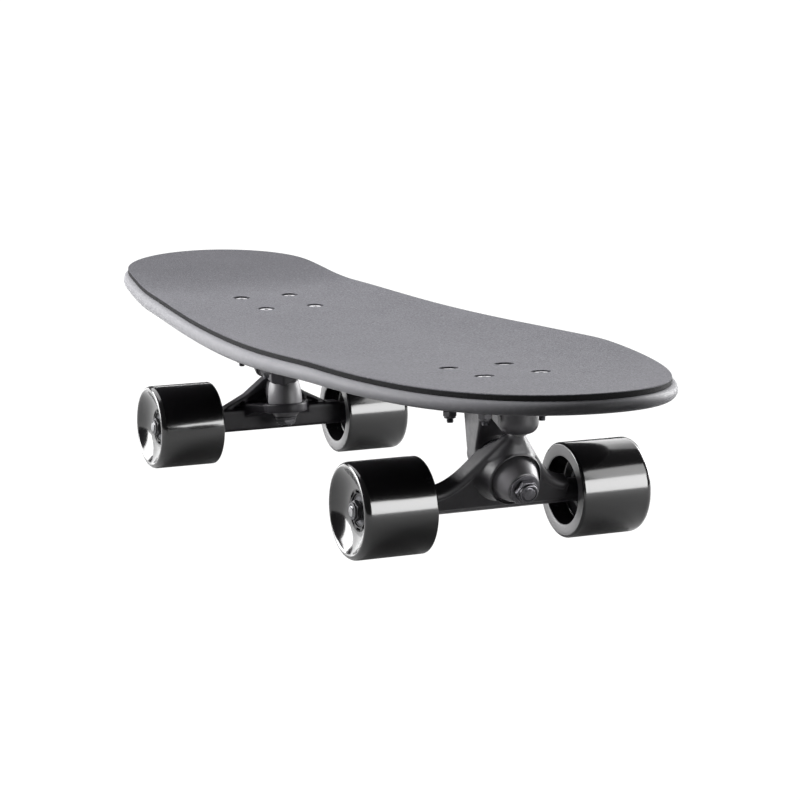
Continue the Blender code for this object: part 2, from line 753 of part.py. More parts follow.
# Front baseplate: a plate, a leg that the kingpin passes through, and a boss for the pivot cup
def make_front_baseplate(truck, finish):
    plate = mounting_plate(truck, FRONT_PLATE_IN, FRONT_PLATE_OUT, finish)
    join_lugs(plate, truck)
    truck.head_at = truck.board_seat - LEG_DEPTH
    join(plate, front_leg(truck))
    join(plate, seat_disc(truck, LEG_TOE))
    join(plate, pivot_boss(truck))
    join(plate, gusset(truck))
    cut(plate, truck.bolt_spaces)
    cut(plate, cup_space(truck))
    cut(plate, kingpin_space(truck))


# The leg in side view: its front carries the bushing's seat, its back the kingpin's head
def front_leg(truck):
    way = truck.kingpin_way
    up = Vector((-way.y, way.x))
    front = truck.ring + way * (truck.board_seat - SEAT_WALL)
    back = truck.ring + way * (truck.head_at - SEAT_WALL)
    root = front + up * truck.run_to_plate(front, up)
    toe = front - up * BUSHING_RADIUS
    outline = [
        toe,
        root,
        truck.in_plate(root.x - LEG_ROOT),
        back + up * KINGPIN_FLATS / 2,
        back - up * KINGPIN_RADIUS,
        toe - way * LEG_TOE,
    ]
    leg = tool("front_leg", side_prism(outline, LEG_HALF_WIDTH), truck.root)
    bevel(leg, PLATE_EDGE)
    return leg


def pivot_boss(truck):
    radius = CUP_RADIUS + TOUCH + PIVOT_WALL
    low = -BOSS_DROP
    top = truck.run_to_plate(truck.pivot, (0, 1))
    profile = [(0, low)]
    profile += arc((radius - BOSS_ROUND, low + BOSS_ROUND), BOSS_ROUND, -90, 0, CORNER_STEPS)
    profile += [(radius, top), (0, top)]
    return tool("front_pivot_boss", turned(profile), truck.root, shifted(truck.pivot.x, 0, truck.pivot.y))


# A gusset on the centre line that deepens from the leg to the foot of the boss
def gusset(truck):
    start = truck.in_plate(truck.ring.x - LEG_DEPTH / 2)
    foot = truck.in_plate(truck.pivot.x - CUP_RADIUS)
    start_low = start - Vector((0, GUSSET_DEPTH + PLATE_THICKNESS / 2))
    foot_low = Vector((foot.x, truck.pivot.y - BOSS_DROP + GUSSET_RISE))
    shape = side_prism([start, start_low, foot_low, foot], GUSSET_THICKNESS / 2)
    return tool("front_gusset", shape, truck.root)


# Rear baseplate: an eight-sided boss for the kingpin, and a block that holds the slanted cup
def make_rear_baseplate(truck, finish):
    plate = mounting_plate(truck, REAR_PLATE_IN, REAR_PLATE_OUT, finish)
    seat = truck.ring + truck.kingpin_way * truck.board_seat
    root = truck.board_seat + truck.run_to_plate(seat, truck.kingpin_way)
    truck.head_at = root - PLATE_THICKNESS / 2 + HEAD_SUNK + KINGPIN_HEAD
    join(plate, kingpin_boss(truck, root))
    join(plate, seat_disc(truck, 2 * SEAT_WALL))
    join(plate, cup_block(truck))
    cut(plate, truck.bolt_spaces)
    cut(plate, cup_space(truck))
    cut(plate, kingpin_space(truck))


def kingpin_boss(truck, root):
    corners = [math.tau * (i + 0.5) / 8 for i in range(8)]
    rings = []
    for radius, height in ((SEAT_RADIUS + PIN_BOSS_FLARE, root), (SEAT_RADIUS, truck.board_seat - SEAT_WALL)):
        rings.append([(radius * math.cos(a), radius * math.sin(a), height) for a in corners])
    return tool("rear_kingpin_boss", lofted(rings), truck.pin)


# The block round the rear cup: square to the steering axis at its mouth, and run up to the plate
def cup_block(truck):
    way = truck.steer_way
    up = Vector((-way.y, way.x))
    wall = CUP_RADIUS + TOUCH + CUP_BLOCK_WALL
    mouth = truck.pivot - way * CUP_SKIRT
    low_front, high_front = mouth - up * wall, mouth + up * wall
    low_back = truck.pivot + way * wall - up * wall / 2
    root = high_front + up * truck.run_to_plate(high_front, up)
    outline = [low_front, low_back, truck.in_plate(low_back.x), root, high_front]
    block = tool("rear_cup_block", side_prism(outline, wall), truck.root)
    bevel(block, PLATE_EDGE)
    return block


def along_axle():
    return Matrix.Rotation(-math.pi / 2, 4, "X")


def axle_bar(truck):
    end = BAR_END
    profile = [(0, -end), (BAR_RADIUS - BAR_EDGE, -end), (BAR_RADIUS, BAR_EDGE - end)]
    profile += [(BAR_RADIUS, end - BAR_EDGE), (BAR_RADIUS - BAR_EDGE, end), (0, end)]
    return tool(truck.end + "_bar", turned(profile), truck.root, along_axle())


def axle_bore(truck):
    shape = cylinder(AXLE_RADIUS + TOUCH, -BAR_END - PAST, BAR_END + PAST, SMALL_STEPS)
    return tool(truck.end + "_axle_bore", shape, truck.root, along_axle())


# The pivot: a tapered neck that starts so far below the ball's centre, and the ball end
def pivot_pin(truck, neck, base):
    profile = [(0, -neck), (base, -neck), (PIVOT_RADIUS, -CUP_SKIRT - ROOT)]
    profile += arc((0, 0), PIVOT_RADIUS, 0, 90, 3)[:-1] + [(0, PIVOT_RADIUS)]
    return tool(truck.end + "_pivot", turned(profile, SMALL_STEPS), truck.cup)


# A collar round the kingpin, wider by its flare at the height of the A-frame's face
def collar(truck, low, high, radius, flare=0.0):
    edge = BAR_EDGE
    profile = [(0, low), (radius - edge, low), (radius, low + edge)]
    if flare:
        profile.append((radius + flare, FACE_OUT))
    profile += [(radius, high - edge), (radius - edge, high), (0, high)]
    return tool(truck.end + "_collar", turned(profile), truck.pin)


# The ring's two shallow bushing seats, and its bore, which is wide because the ring tilts round
# the kingpin when the truck steers
def ring_space(truck, low, high):
    seat, bore = SEAT_RADIUS, KINGPIN_RADIUS + RING_PLAY
    profile = [(0, low), (seat, low), (seat, truck.board_floor), (bore, truck.board_floor)]
    profile += [(bore, truck.road_floor), (seat, truck.road_floor), (seat, high), (0, high)]
    return tool(truck.end + "_ring_space", turned(profile), truck.pin)


# How fast the A-frame's straight sides widen on the way down, and its half width where they
# would reach the arms
def a_frame_side():
    slope = (SHOULDER_HALF - APEX_HALF) / (APEX_UP + SHOULDER_DOWN)
    return slope, SHOULDER_HALF + slope * (ARM_DOWN - SHOULDER_DOWN)


# Outline of the A-frame, (across, up the steering axis): straight sides from the apex that
# flare into the arms along a curve
def a_frame_outline():
    elbow = a_frame_side()[1]
    half = [(APEX_HALF, APEX_UP), (SHOULDER_HALF, -SHOULDER_DOWN)]
    for t in (1 / 3, 2 / 3, 1):
        across = (1 - t) ** 2 * SHOULDER_HALF + 2 * t * (1 - t) * elbow + t**2 * ARM_HALF
        up = -((1 - t) ** 2) * SHOULDER_DOWN - (1 - (1 - t) ** 2) * ARM_DOWN
        half.append((across, up))
    half += [(ARM_HALF, FOOT_CORNER - FOOT_DOWN), (ARM_HALF - FOOT_CORNER, -FOOT_DOWN)]
    return both_sides(half)


# The hollow in its back leaves a skin in front and a wall all round
def a_frame_pocket():
    slope, elbow = a_frame_side()
    wall = POCKET_WALL * math.sqrt(1 + slope * slope)
    low, high = POCKET_WALL - FOOT_DOWN, APEX_UP - 2 * POCKET_WALL
    top = APEX_HALF + slope * (APEX_UP - high) - wall
    outline = both_sides([(top, high), (elbow - wall, -ARM_DOWN), (elbow - wall, low)])
    return face_prism(outline, FACE_OUT - FACE_DEPTH - PAST, FACE_OUT - FACE_SKIN)


def make_front_hanger(truck, finish):
    shape = face_prism(a_frame_outline(), FACE_OUT - FACE_DEPTH, FACE_OUT)
    hanger = solid("front_hanger", shape, finish["cast"], truck.steer)
    bevel(hanger, FACE_EDGE)
    cut(hanger, tool("front_pocket", a_frame_pocket(), truck.steer))
    cut(hanger, apex_space(truck))
    radius = SEAT_RADIUS + FRONT_COLLAR_WALL
    join(hanger, collar(truck, -FRONT_COLLAR_IN, FRONT_COLLAR_OUT, radius, FRONT_COLLAR_FLARE))
    join(hanger, axle_bar(truck))
    join(hanger, pivot_pin(truck, FRONT_NECK, FRONT_NECK_BASE))
    cut(hanger, ring_space(truck, -FRONT_COLLAR_IN - PAST, FRONT_COLLAR_OUT + PAST))
    cut(hanger, axle_bore(truck))


# The apex is cut level, so that it passes under the pivot boss
def apex_space(truck):
    low = truck.pivot.y - BOSS_DROP - APEX_GAP
    reach = FACE_DEPTH + SHOULDER_HALF
    outline = rounded_rectangle(-reach, reach, reach, FOOT_CORNER)
    return tool("front_apex_space", prism(outline, 0, reach), truck.root, shifted(truck.pivot.x, 0, low))


def make_rear_hanger(truck, finish):
    half = [(WEB_APEX_HALF, WEB_APEX_UP), (WEB_SHOULDER_HALF, WEB_SHOULDER_UP), (WEB_ARM_HALF, WEB_ARM_UP)]
    half += [(WEB_ARM_HALF + BAR_RADIUS, BAR_RADIUS / 2), (WEB_ARM_HALF, -BAR_RADIUS / 2)]
    shape = face_prism(both_sides(half), -WEB_HALF, WEB_HALF)
    in_steer = side_frame(truck.ring, truck.steer_way).inverted()
    hanger = solid("rear_hanger", moved(shape, in_steer), finish["cast"], truck.steer)
    bevel(hanger, FACE_EDGE)
    for side, word in ((1, "right"), (-1, "left")):
        cut(hanger, tool(f"rear_web_pocket_{word}", web_pocket(side), truck.root))
    join(hanger, yoke(truck))
    join(hanger, collar(truck, -REAR_RING_HALF, REAR_RING_HALF, SEAT_RADIUS + REAR_COLLAR_WALL))
    join(hanger, axle_bar(truck))
    join(hanger, axle_body(truck))
    neck = truck.steer_reach + truck.ring.x / truck.steer_way.x
    join(hanger, pivot_pin(truck, neck, REAR_NECK_BASE))
    cut(hanger, ring_space(truck, -REAR_RING_HALF - PAST, REAR_RING_HALF + PAST))
    cut(hanger, axle_bore(truck))


# The square body round the rear axle, with its edges chamfered
def axle_body(truck):
    half, edge = BODY_HALF, BODY_EDGE
    corners = [(half - edge, half), (half, half - edge), (half, edge - half), (half - edge, -half)]
    return tool("rear_body", side_prism(both_sides(corners), BODY_REACH), truck.root)


# A pocket in the web's face toward the ring, which leaves a rib along each sloping edge
def web_pocket(side):
    low = BAR_RADIUS + WEB_RIB
    top = WEB_APEX_UP - 2 * WEB_RIB
    corners = [(side * WEB_APEX_HALF, low), (side * WEB_APEX_HALF, top)]
    corners += [(side * (WEB_SHOULDER_HALF - WEB_RIB), WEB_SHOULDER_UP - WEB_RIB)]
    corners += [(side * (WEB_ARM_HALF - 3 * WEB_RIB), low)]
    return face_prism(corners, -WEB_HALF - PAST, WEB_POCKET - WEB_HALF)


# The flat yoke that joins the ring to the web
def yoke(truck):
    thick = REAR_RING_HALF - BAR_EDGE / 2
    ring = SEAT_RADIUS + REAR_COLLAR_WALL
    half = [(ring / 2, 0), (ring - BAR_EDGE, ring / 2), (YOKE_HALF, -truck.ring.x)]
    outline = [(along, across) for across, along in both_sides(half)]
    place = shifted(truck.ring.x, 0, truck.ring.y)
    return tool("rear_yoke", prism(outline, -thick, thick), truck.root, place)


def make_axle(truck, finish):
    end = WHEEL_OFFSET + SLEEVE_OUT + TOUCH + AXLE_NUT_HEIGHT + AXLE_TIP
    chamfer = AXLE_TIP
    profile = [(0, -end), (AXLE_RADIUS - chamfer, -end), (AXLE_RADIUS, chamfer - end)]
    profile += [(AXLE_RADIUS, end - chamfer), (AXLE_RADIUS - chamfer, end), (0, end)]
    solid(truck.end + "_axle", turned(profile, SMALL_STEPS), finish["steel"], truck.root, along_axle())


# The tyre: a tread with a round outer edge, a deep dish outside, a flat side and a wide recess
# inside, and the bore that the core fills
def tyre_shape():
    half = WHEEL_WIDTH / 2
    bore = CORE_RADIUS + TOUCH
    shoulder = WHEEL_RADIUS - LIP_RADIUS
    dish = [(bore, CORE_OUT), ((bore + LIP_RADIUS) / 2, CORE_OUT + DISH_DEPTH / 4), (LIP_RADIUS, half)]
    outer = [
        (LIP_RADIUS + shoulder * math.sin(turn), half - TREAD_EDGE * (1 - math.cos(turn)))
        for turn in (math.pi / 4, math.pi / 2)
    ]
    inner = arc((WHEEL_RADIUS - INNER_EDGE, INNER_EDGE - half), INNER_EDGE, 0, -90, 2)
    recess = [(RECESS_RADIUS, -half), (RECESS_RADIUS, CORE_IN), (bore, CORE_IN)]
    return turned(dish + outer + inner + recess, WHEEL_STEPS)


# The core: a hub with a bearing seat at each end, shouldered by its waist
def core_shape():
    seat = BEARING_RADIUS + TOUCH
    outer_floor = CORE_OUT - BEARING_SINK - BEARING_WIDTH - TOUCH
    inner_floor = CORE_IN + BEARING_SINK + BEARING_WIDTH + TOUCH
    profile = [(CORE_RADIUS, CORE_IN), (CORE_RADIUS, CORE_OUT), (seat, CORE_OUT), (seat, outer_floor)]
    profile += [(CORE_WAIST, outer_floor), (CORE_WAIST, inner_floor), (seat, inner_floor), (seat, CORE_IN)]
    return turned(profile)


# The pockets between the spokes in the core's outer face
def core_pockets():
    inner = BEARING_RADIUS + TOUCH + CORE_RIM
    outer = CORE_RADIUS - CORE_RIM
    half = math.pi / CORE_POCKETS / 2
    corners = ((inner, -half), (outer, -half), (outer, half), (inner, half))
    outline = [(radius * math.cos(turn), radius * math.sin(turn)) for radius, turn in corners]
    pocket = prism(outline, CORE_OUT - CORE_POCKET_DEPTH, CORE_OUT + PAST)
    turns = [Matrix.Rotation(math.tau * i / CORE_POCKETS, 4, "Z") for i in range(CORE_POCKETS)]
    return repeated(pocket, turns)


def make_wheel(name, truck, side, finish):
    face_out = Matrix.Rotation(-side * math.pi / 2, 4, "X")
    wheel = empty(name + "_wheel", shifted(0, side * WHEEL_OFFSET, 0) @ face_out, truck.root)
    solid(name + "_tyre", tyre_shape(), finish["urethane"], wheel)
    core = solid(name + "_core", core_shape(), finish["core"], wheel)
    cut(core, tool(name + "_core_pockets", core_pockets(), wheel))
    outer = CORE_OUT - BEARING_SINK - BEARING_WIDTH
    for part, low in (("_outer_bearing", outer), ("_inner_bearing", CORE_IN + BEARING_SINK)):
        shape = tube(RACE_RADIUS + RUN, BEARING_RADIUS, low, low + BEARING_WIDTH, SMALL_STEPS)
        solid(name + part, shape, finish["bearing"], wheel)
    sleeve = tube(AXLE_RADIUS + TOUCH, RACE_RADIUS, SLEEVE_IN, SLEEVE_OUT, SMALL_STEPS)
    solid(name + "_sleeve", sleeve, finish["steel"], wheel)
    low = SLEEVE_OUT + TOUCH
    high = low + AXLE_NUT_HEIGHT
    nut = solid(name + "_axle_nut", prism(hexagon(AXLE_NUT_FLATS), low, high), finish["zinc"], wheel)
    bore = cylinder(AXLE_RADIUS + TOUCH, low - PAST, high + PAST, SMALL_STEPS)
    cut(nut, tool(nut.name + "_bore", bore, wheel))


def finishes():
    return {
        "deck": material("deck grey", (0.36, 0.36, 0.37), 0.42),
        "pad": material("charcoal pad", (0.10, 0.10, 0.11), 0.9),
        "rubber": material("riser rubber", (0.03, 0.03, 0.03), 0.7),
        "cast": material("black cast aluminium", (0.035, 0.035, 0.038), 0.45, 0.4),
        "black_steel": material("blackened steel", (0.06, 0.06, 0.065), 0.35, 0.8),
        "zinc": material("zinc plate", (0.42, 0.42, 0.43), 0.3, 0.9),
        "steel": material("bright steel", (0.55, 0.55, 0.56), 0.25, 1.0),
        "bushing": material("grey bushing", (0.22, 0.22, 0.23), 0.5),
        "cup": material("pivot cup", (0.5, 0.5, 0.5), 0.5),
        "urethane": material("black urethane", (0.025, 0.025, 0.027), 0.12),
        "core": material("wheel core", (0.012, 0.012, 0.013), 0.35),
        "bearing": material("bearing", (0.2, 0.2, 0.21), 0.3, 0.8),
    }


def main():
    clear_scene()
    finish = finishes()
    front, rear = Truck("front"), Truck("rear")
    make_board((front, rear), finish)
    make_riser(rear, finish)
    make_front_baseplate(front, finish)
    make_rear_baseplate(rear, finish)
    make_front_hanger(front, finish)
    make_rear_hanger(rear, finish)
    for truck in (front, rear):
        make_pivot_cup(truck, finish)
        make_kingpin(truck, finish)
        make_bushings(truck, finish)
        make_axle(truck, finish)
    for truck, left in ((front, 1), (rear, -1)):
        make_wheel(truck.end + "_left", truck, left, finish)
        make_wheel(truck.end + "_right", truck, -left, finish)


main()
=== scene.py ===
import math

import bmesh
import bpy
import numpy as np
from mathutils import Matrix, Vector


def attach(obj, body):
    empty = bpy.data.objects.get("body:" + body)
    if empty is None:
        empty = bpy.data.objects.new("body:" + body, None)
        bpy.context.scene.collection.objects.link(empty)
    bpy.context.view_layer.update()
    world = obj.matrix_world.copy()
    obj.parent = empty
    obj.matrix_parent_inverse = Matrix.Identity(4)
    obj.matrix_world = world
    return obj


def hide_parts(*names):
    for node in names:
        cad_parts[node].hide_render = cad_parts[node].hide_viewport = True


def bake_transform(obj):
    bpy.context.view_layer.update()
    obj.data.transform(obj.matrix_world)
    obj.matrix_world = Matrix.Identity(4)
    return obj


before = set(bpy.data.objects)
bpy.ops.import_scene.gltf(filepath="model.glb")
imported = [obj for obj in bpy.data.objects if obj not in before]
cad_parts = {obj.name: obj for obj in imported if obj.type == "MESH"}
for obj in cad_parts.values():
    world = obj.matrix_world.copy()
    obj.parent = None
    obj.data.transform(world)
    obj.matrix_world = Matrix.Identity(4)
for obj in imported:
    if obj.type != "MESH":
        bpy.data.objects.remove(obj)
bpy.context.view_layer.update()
millimetre = 0.001


# Plain shapes. A form is (points, faces, tint): tint is a number at each point that a finish reads.

def unit(vector):
    return vector / np.linalg.norm(vector)


def roundTurn(steps):
    return np.linspace(0, math.tau, steps, endpoint=False)


def stacked(x, y, z):
    return np.stack(np.broadcast_arrays(x, y, z), -1)


def roundPoints(radius, turn, height):
    return stacked(radius * np.cos(turn), radius * np.sin(turn), height)


# The unit vectors square to each row of a plane, on its left
def leftOf(rows):
    return np.stack([-rows[:, 1], rows[:, 0]], -1) / np.linalg.norm(rows, axis=1)[:, None]


def sheetForm(points, roundRows=False, roundColumns=False, tint=0.0):
    rows, columns = points.shape[:2]
    i = np.arange(rows if roundRows else rows - 1)[:, None]
    j = np.arange(columns if roundColumns else columns - 1)
    here, below, beside = i * columns, (i + 1) % rows * columns, (j + 1) % columns
    faces = np.stack([here + j, here + beside, below + beside, below + j], -1).reshape(-1, 4).tolist()
    tints = np.broadcast_to(np.asarray(tint, float).reshape(-1, 1), (rows, columns)).ravel()
    return points.reshape(-1, 3), faces, tints


# Closed rings of points, each joined to the next, with a flat cap at both ends
def loftForm(rows):
    points, faces, tint = sheetForm(rows, roundColumns=True)
    count = rows.shape[1]
    return points, faces + [list(range(count)), list(range(len(points) - count, len(points)))], tint


def joinForms(forms):
    faces, start = [], 0
    for points, someFaces, _ in forms:
        faces += [[corner + start for corner in face] for face in someFaces]
        start += len(points)
    return np.concatenate([form[0] for form in forms]), faces, np.concatenate([form[2] for form in forms])


def movedForm(form, place):
    return form[0] @ place[:3, :3].T + place[:3, 3], form[1], form[2]


def upsideDown(form, tint=0):
    return form[0] * (1, -1, -1), form[1], form[2] + tint


# Corners (across, along[, fillet[, tint]]) joined by lines. Each fillet is the arc of that radius which
# touches both lines: centre = corner + bisector * fillet / sin(half the corner's angle).
def filleted(corners, closed=True, arcPoints=7):
    points, tints = [], []
    for i, corner in enumerate(corners):
        here = np.array(corner[:2], float)
        fillet, tint = (*corner[2:], 0, 0)[:2]
        if fillet == 0 or (not closed and i in (0, len(corners) - 1)):
            points.append(here[None])
        else:
            before = unit(np.array(corners[i - 1][:2]) - here)
            after = unit(np.array(corners[(i + 1) % len(corners)][:2]) - here)
            half = math.acos(np.clip(before @ after, -1, 1)) / 2
            centre = here + unit(before + after) * fillet / math.sin(half)
            first, last = (here + way * fillet / math.tan(half) - centre for way in (before, after))
            start = math.atan2(first[1], first[0])
            sweep = (math.atan2(last[1], last[0]) - start + math.pi) % math.tau - math.pi
            turn = start + sweep * np.linspace(0, 1, arcPoints)
            points.append(centre + fillet * np.stack([np.cos(turn), np.sin(turn)], -1))
        tints += [tint] * len(points[-1])
    return np.concatenate(points), np.array(tints)


# Half an outline and its mirror image, which together make a closed one
def mirrored(half):
    return [*half, *((-across, *rest) for across, *rest in reversed(half))]


# A profile turned about Z: (radius cos turn, radius sin turn, height)
def turnedForm(corners, closed=False, steps=96, arcPoints=7):
    profile, tints = filleted(corners, closed, arcPoints)
    points = roundPoints(profile[:, :1], roundTurn(steps), profile[:, 1:])
    return sheetForm(points, roundRows=closed, roundColumns=True, tint=tints)


def drum(radius, low, high, lowEdge=0.0, highEdge=0.0, steps=96):
    return turnedForm([(0, low), (radius, low, lowEdge), (radius, high, highEdge), (0, high)], steps=steps)


# An outline in the XY plane carried up Z, its edges rounded: at a height t into the rounding the
# outline moves inward by edge * (1 - sin t).
def prismForm(outline, low, high, edge=0.0):
    outline = np.array(outline, float)
    beyond = np.roll(outline, -1, 0)
    area = np.sum(outline[:, 0] * beyond[:, 1] - outline[:, 1] * beyond[:, 0])
    inward = leftOf(beyond - np.roll(outline, 1, 0)) * np.sign(area)
    t = np.linspace(0, math.pi / 2, 5) if edge else np.array([math.pi / 2])
    inset, level = edge * (1 - np.sin(t)), edge * (1 - np.cos(t))
    flat = outline + inward * np.concatenate([inset, inset[::-1]])[:, None, None]
    level = np.concatenate([low + level, high - level[::-1]])
    return loftForm(stacked(flat[..., 0], flat[..., 1], level[:, None]))


# A round bar along a path in the XY plane: point + radius * (across cos turn, Z sin turn)
def barAlong(path, height, radius):
    turn = roundTurn(16)
    flat = path[:, None] + radius * leftOf(np.gradient(path, axis=0))[:, None] * np.cos(turn)[:, None]
    return loftForm(stacked(flat[..., 0], flat[..., 1], height + radius * np.sin(turn)))


def roundedRectangle(low, high, halfWidth, corner):
    box = ((high, -halfWidth), (high, halfWidth), (low, halfWidth), (low, -halfWidth))
    return filleted([(*at, corner) for at in box], arcPoints=9)[0]


def placed(origin, xAxis, zAxis):
    z = unit(np.array(zAxis, float))
    y = unit(np.cross(z, xAxis))
    place = np.eye(4)
    place[:3, :3] = np.column_stack([np.cross(y, z), y, z])
    place[:3, 3] = origin
    return place


def shifted(x, y, z):
    return placed((x, y, z), (1, 0, 0), (0, 0, 1))


acrossX = placed((0, 0, 0), (0, 1, 0), (1, 0, 0))  # an outline in YZ, carried along X
acrossY = placed((0, 0, 0), (1, 0, 0), (0, -1, 0))  # an outline in XZ, carried along Y
alongAxle = placed((0, 0, 0), (1, 0, 0), (0, 1, 0))


# An outline in a place's XZ plane, carried the same way to both of its sides
def sideForm(outline, half, edge, place):
    return movedForm(prismForm(outline, -half, half, edge), place @ acrossY)


def faceForm(outline, low, high, edge, place):
    return movedForm(prismForm(outline, low, high, edge), place @ acrossX)


# Meshes

creaseAngle = 38  # degrees between two faces, past which their edge stays sharp


def smoothed(mesh, angle=creaseAngle):
    mesh.shade_smooth()
    mesh.set_sharp_from_angle(angle=math.radians(angle))
    return mesh


def linked(name, data):
    made = bpy.data.objects.new(name, data)
    bpy.context.scene.collection.objects.link(made)
    return made


def meshPiece(name, form, finish=None, angle=creaseAngle):
    points, faces, tint = form
    mesh = bpy.data.meshes.new(name)
    mesh.from_pydata((points * millimetre).tolist(), [], faces)
    mesh.attributes.new("tint", "FLOAT", "POINT").data.foreach_set("value", tint.astype(np.float32))
    shape = bmesh.new()
    shape.from_mesh(mesh)
    bmesh.ops.remove_doubles(shape, verts=shape.verts, dist=1e-6)
    bmesh.ops.dissolve_degenerate(shape, edges=shape.edges, dist=1e-7)
    bmesh.ops.recalc_face_normals(shape, faces=shape.faces)
    shape.to_mesh(mesh)
    shape.free()
    if finish:
        mesh.materials.append(finish)
    return linked(name, smoothed(mesh, angle))


# Takes the mesh as its modifiers and the cutters leave it
def settle(piece, cuts):
    cutters = [meshPiece(f"{piece.name}Cut{i}", form) for i, form in enumerate(cuts)]
    for cutter in cutters:
        step = piece.modifiers.new(cutter.name, "BOOLEAN")
        step.operation = "DIFFERENCE"
        step.solver = "MANIFOLD"
        step.object = cutter
    graph = bpy.context.evaluated_depsgraph_get()
    mesh = bpy.data.meshes.new_from_object(piece.evaluated_get(graph), depsgraph=graph)
    piece.modifiers.clear()
    piece.data = smoothed(mesh)
    for cutter in cutters:
        bpy.data.objects.remove(cutter, do_unlink=True)
    return piece


# What the cutters leave of a form
def carved(form, cuts):
    piece = settle(meshPiece("carving", form), cuts)
    points = np.empty(len(piece.data.vertices) * 3)
    piece.data.vertices.foreach_get("co", points)
    faces = [list(face.vertices) for face in piece.data.polygons]
    bpy.data.objects.remove(piece, do_unlink=True)
    return points.reshape(-1, 3) / millimetre, faces, np.zeros(len(points) // 3)


casting = {"cell": 0.6, "softening": 7}


# A casting: forms that overlap are melted into one skin, which softens their joints and edges, and
# the machined holes are cut after that.
def castPiece(name, forms, cuts, finish, body, node):
    piece = meshPiece(name, joinForms(forms), finishes[finish])
    melt = piece.modifiers.new("melt", "REMESH")
    melt.mode = "VOXEL"
    melt.voxel_size = casting["cell"] * millimetre
    soften = piece.modifiers.new("soften", "SMOOTH")
    soften.factor = 0.5
    soften.iterations = casting["softening"]
    dress(settle(piece, cuts), body, "cast", node)


def dress(piece, body, slot, *nodes):
    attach(piece, body)
    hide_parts(*nodes)


# Finishes

class Finish:
    def __init__(self, name, colour, roughness, metallic=0.0, coat=0.0, coatRoughness=0.1, specular=0.5):
        self.material = bpy.data.materials.new(name)
        self.material.use_nodes = True
        self.tree = self.material.node_tree
        self.shader = self.tree.nodes["Principled BSDF"]
        self.colour, self.normal = (*colour, 1), None
        self.feed(self.shader, {
            "Base Color": self.colour, "Roughness": roughness, "Metallic": metallic, "Coat Weight": coat,
            "Coat Roughness": coatRoughness, "Specular IOR Level": specular,
        })
        self.where = self.add("TexCoord").outputs["Object"]

    # Links each named socket to another node's output, or gives it a value
    def feed(self, node, values):
        for name, value in values.items():
            if isinstance(value, bpy.types.NodeSocket):
                self.tree.links.new(value, node.inputs[name])
            else:
                node.inputs[name].default_value = value
        return node

    def add(self, kind, values=None):
        return self.feed(self.tree.nodes.new("ShaderNode" + kind), values or {})

    def noise(self, perMillimetre, detail=3.0, stretch=None):
        where = self.where
        if stretch:
            where = self.add("Mapping", {"Vector": where, "Scale": stretch}).outputs["Vector"]
        values = {"Vector": where, "Scale": perMillimetre / millimetre, "Detail": detail}
        return self.add("TexNoise", values).outputs["Fac"]

    def cells(self, perMillimetre):
        values = {"Vector": self.where, "Scale": perMillimetre / millimetre}
        return self.add("TexVoronoi", values).outputs["Distance"]

    def tint(self):
        node = self.add("Attribute")
        node.attribute_name = "tint"
        return node.outputs["Fac"]

    def along(self, axis):
        return self.add("SeparateXYZ", {"Vector": self.where}).outputs[axis]

    def edges(self):
        return self.add("NewGeometry").outputs["Pointiness"]

    def spread(self, value, low, high, toLow=0.0, toHigh=1.0):
        names = ("Value", "From Min", "From Max", "To Min", "To Max")
        return self.add("MapRange", dict(zip(names, (value, low, high, toLow, toHigh)))).outputs["Result"]

    def paint(self, share, colour):
        node = self.add("Mix")
        node.data_type = "RGBA"
        self.feed(node, {"Factor": share, 6: self.colour, 7: (*colour, 1)})
        self.colour = node.outputs[2]
        self.feed(self.shader, {"Base Color": self.colour})

    # Patches of a colour where a noise runs from low to high
    def patches(self, perMillimetre, low, high, share, colour, detail=3.0, stretch=None):
        noise = self.noise(perMillimetre, detail, stretch)
        self.paint(self.spread(noise, low, high, 0, share), colour)

    def rough(self, value, low, high, toLow, toHigh):
        self.feed(self.shader, {"Roughness": self.spread(value, low, high, toLow, toHigh)})

    def bump(self, height, strength, distance):
        values = {"Height": height, "Strength": strength, "Distance": distance * millimetre}
        if self.normal:
            values["Normal"] = self.normal
        self.normal = self.add("Bump", values).outputs["Normal"]
        self.feed(self.shader, {"Normal": self.normal})

    def glow(self, strength):
        self.feed(self.shader, {"Emission Color": (1, 1, 1, 1), "Emission Strength": strength})


def deckFinish():
    made = Finish("satin grey deck", (0.18, 0.179, 0.191), 0.5, specular=0.05)
    made.patches(0.012, 0.35, 0.7, 0.35, (0.215, 0.215, 0.225))
    made.patches(0.5, 0.5, 0.75, 0.4, (0.24, 0.24, 0.25), detail=5, stretch=(0.15, 1, 1))
    made.rough(made.noise(0.2), 0.3, 0.7, 0.4, 0.52)
    made.bump(made.noise(0.9), 0.05, 0.05)
    return made.material


def padFinish():
    made = Finish("gritty foam", (0.09, 0.089, 0.099), 0.92, specular=0.15)
    made.patches(0.03, 0.35, 0.7, 0.6, (0.104, 0.103, 0.114), detail=4)
    made.patches(0.55, 0.5, 0.66, 0.8, (0.132, 0.131, 0.144))
    made.patches(0.7, 0.54, 0.68, 0.8, (0.054, 0.053, 0.061))
    # Painted shade: toward the tail the pad is painted darker, from nothing at x = -0.22 m to half of (0.05,
    # 0.049, 0.056) at -0.31 m and beyond, where the kicked-up tail faces away from the light
    made.paint(made.spread(made.along("X"), -0.22, -0.31, 0, 0.5), (0.05, 0.049, 0.056))
    made.paint(made.tint(), (0.0075, 0.0075, 0.0085))
    made.bump(made.cells(0.9), 0.6, 0.3)
    made.bump(made.noise(2.0), 0.5, 0.2)
    return made.material


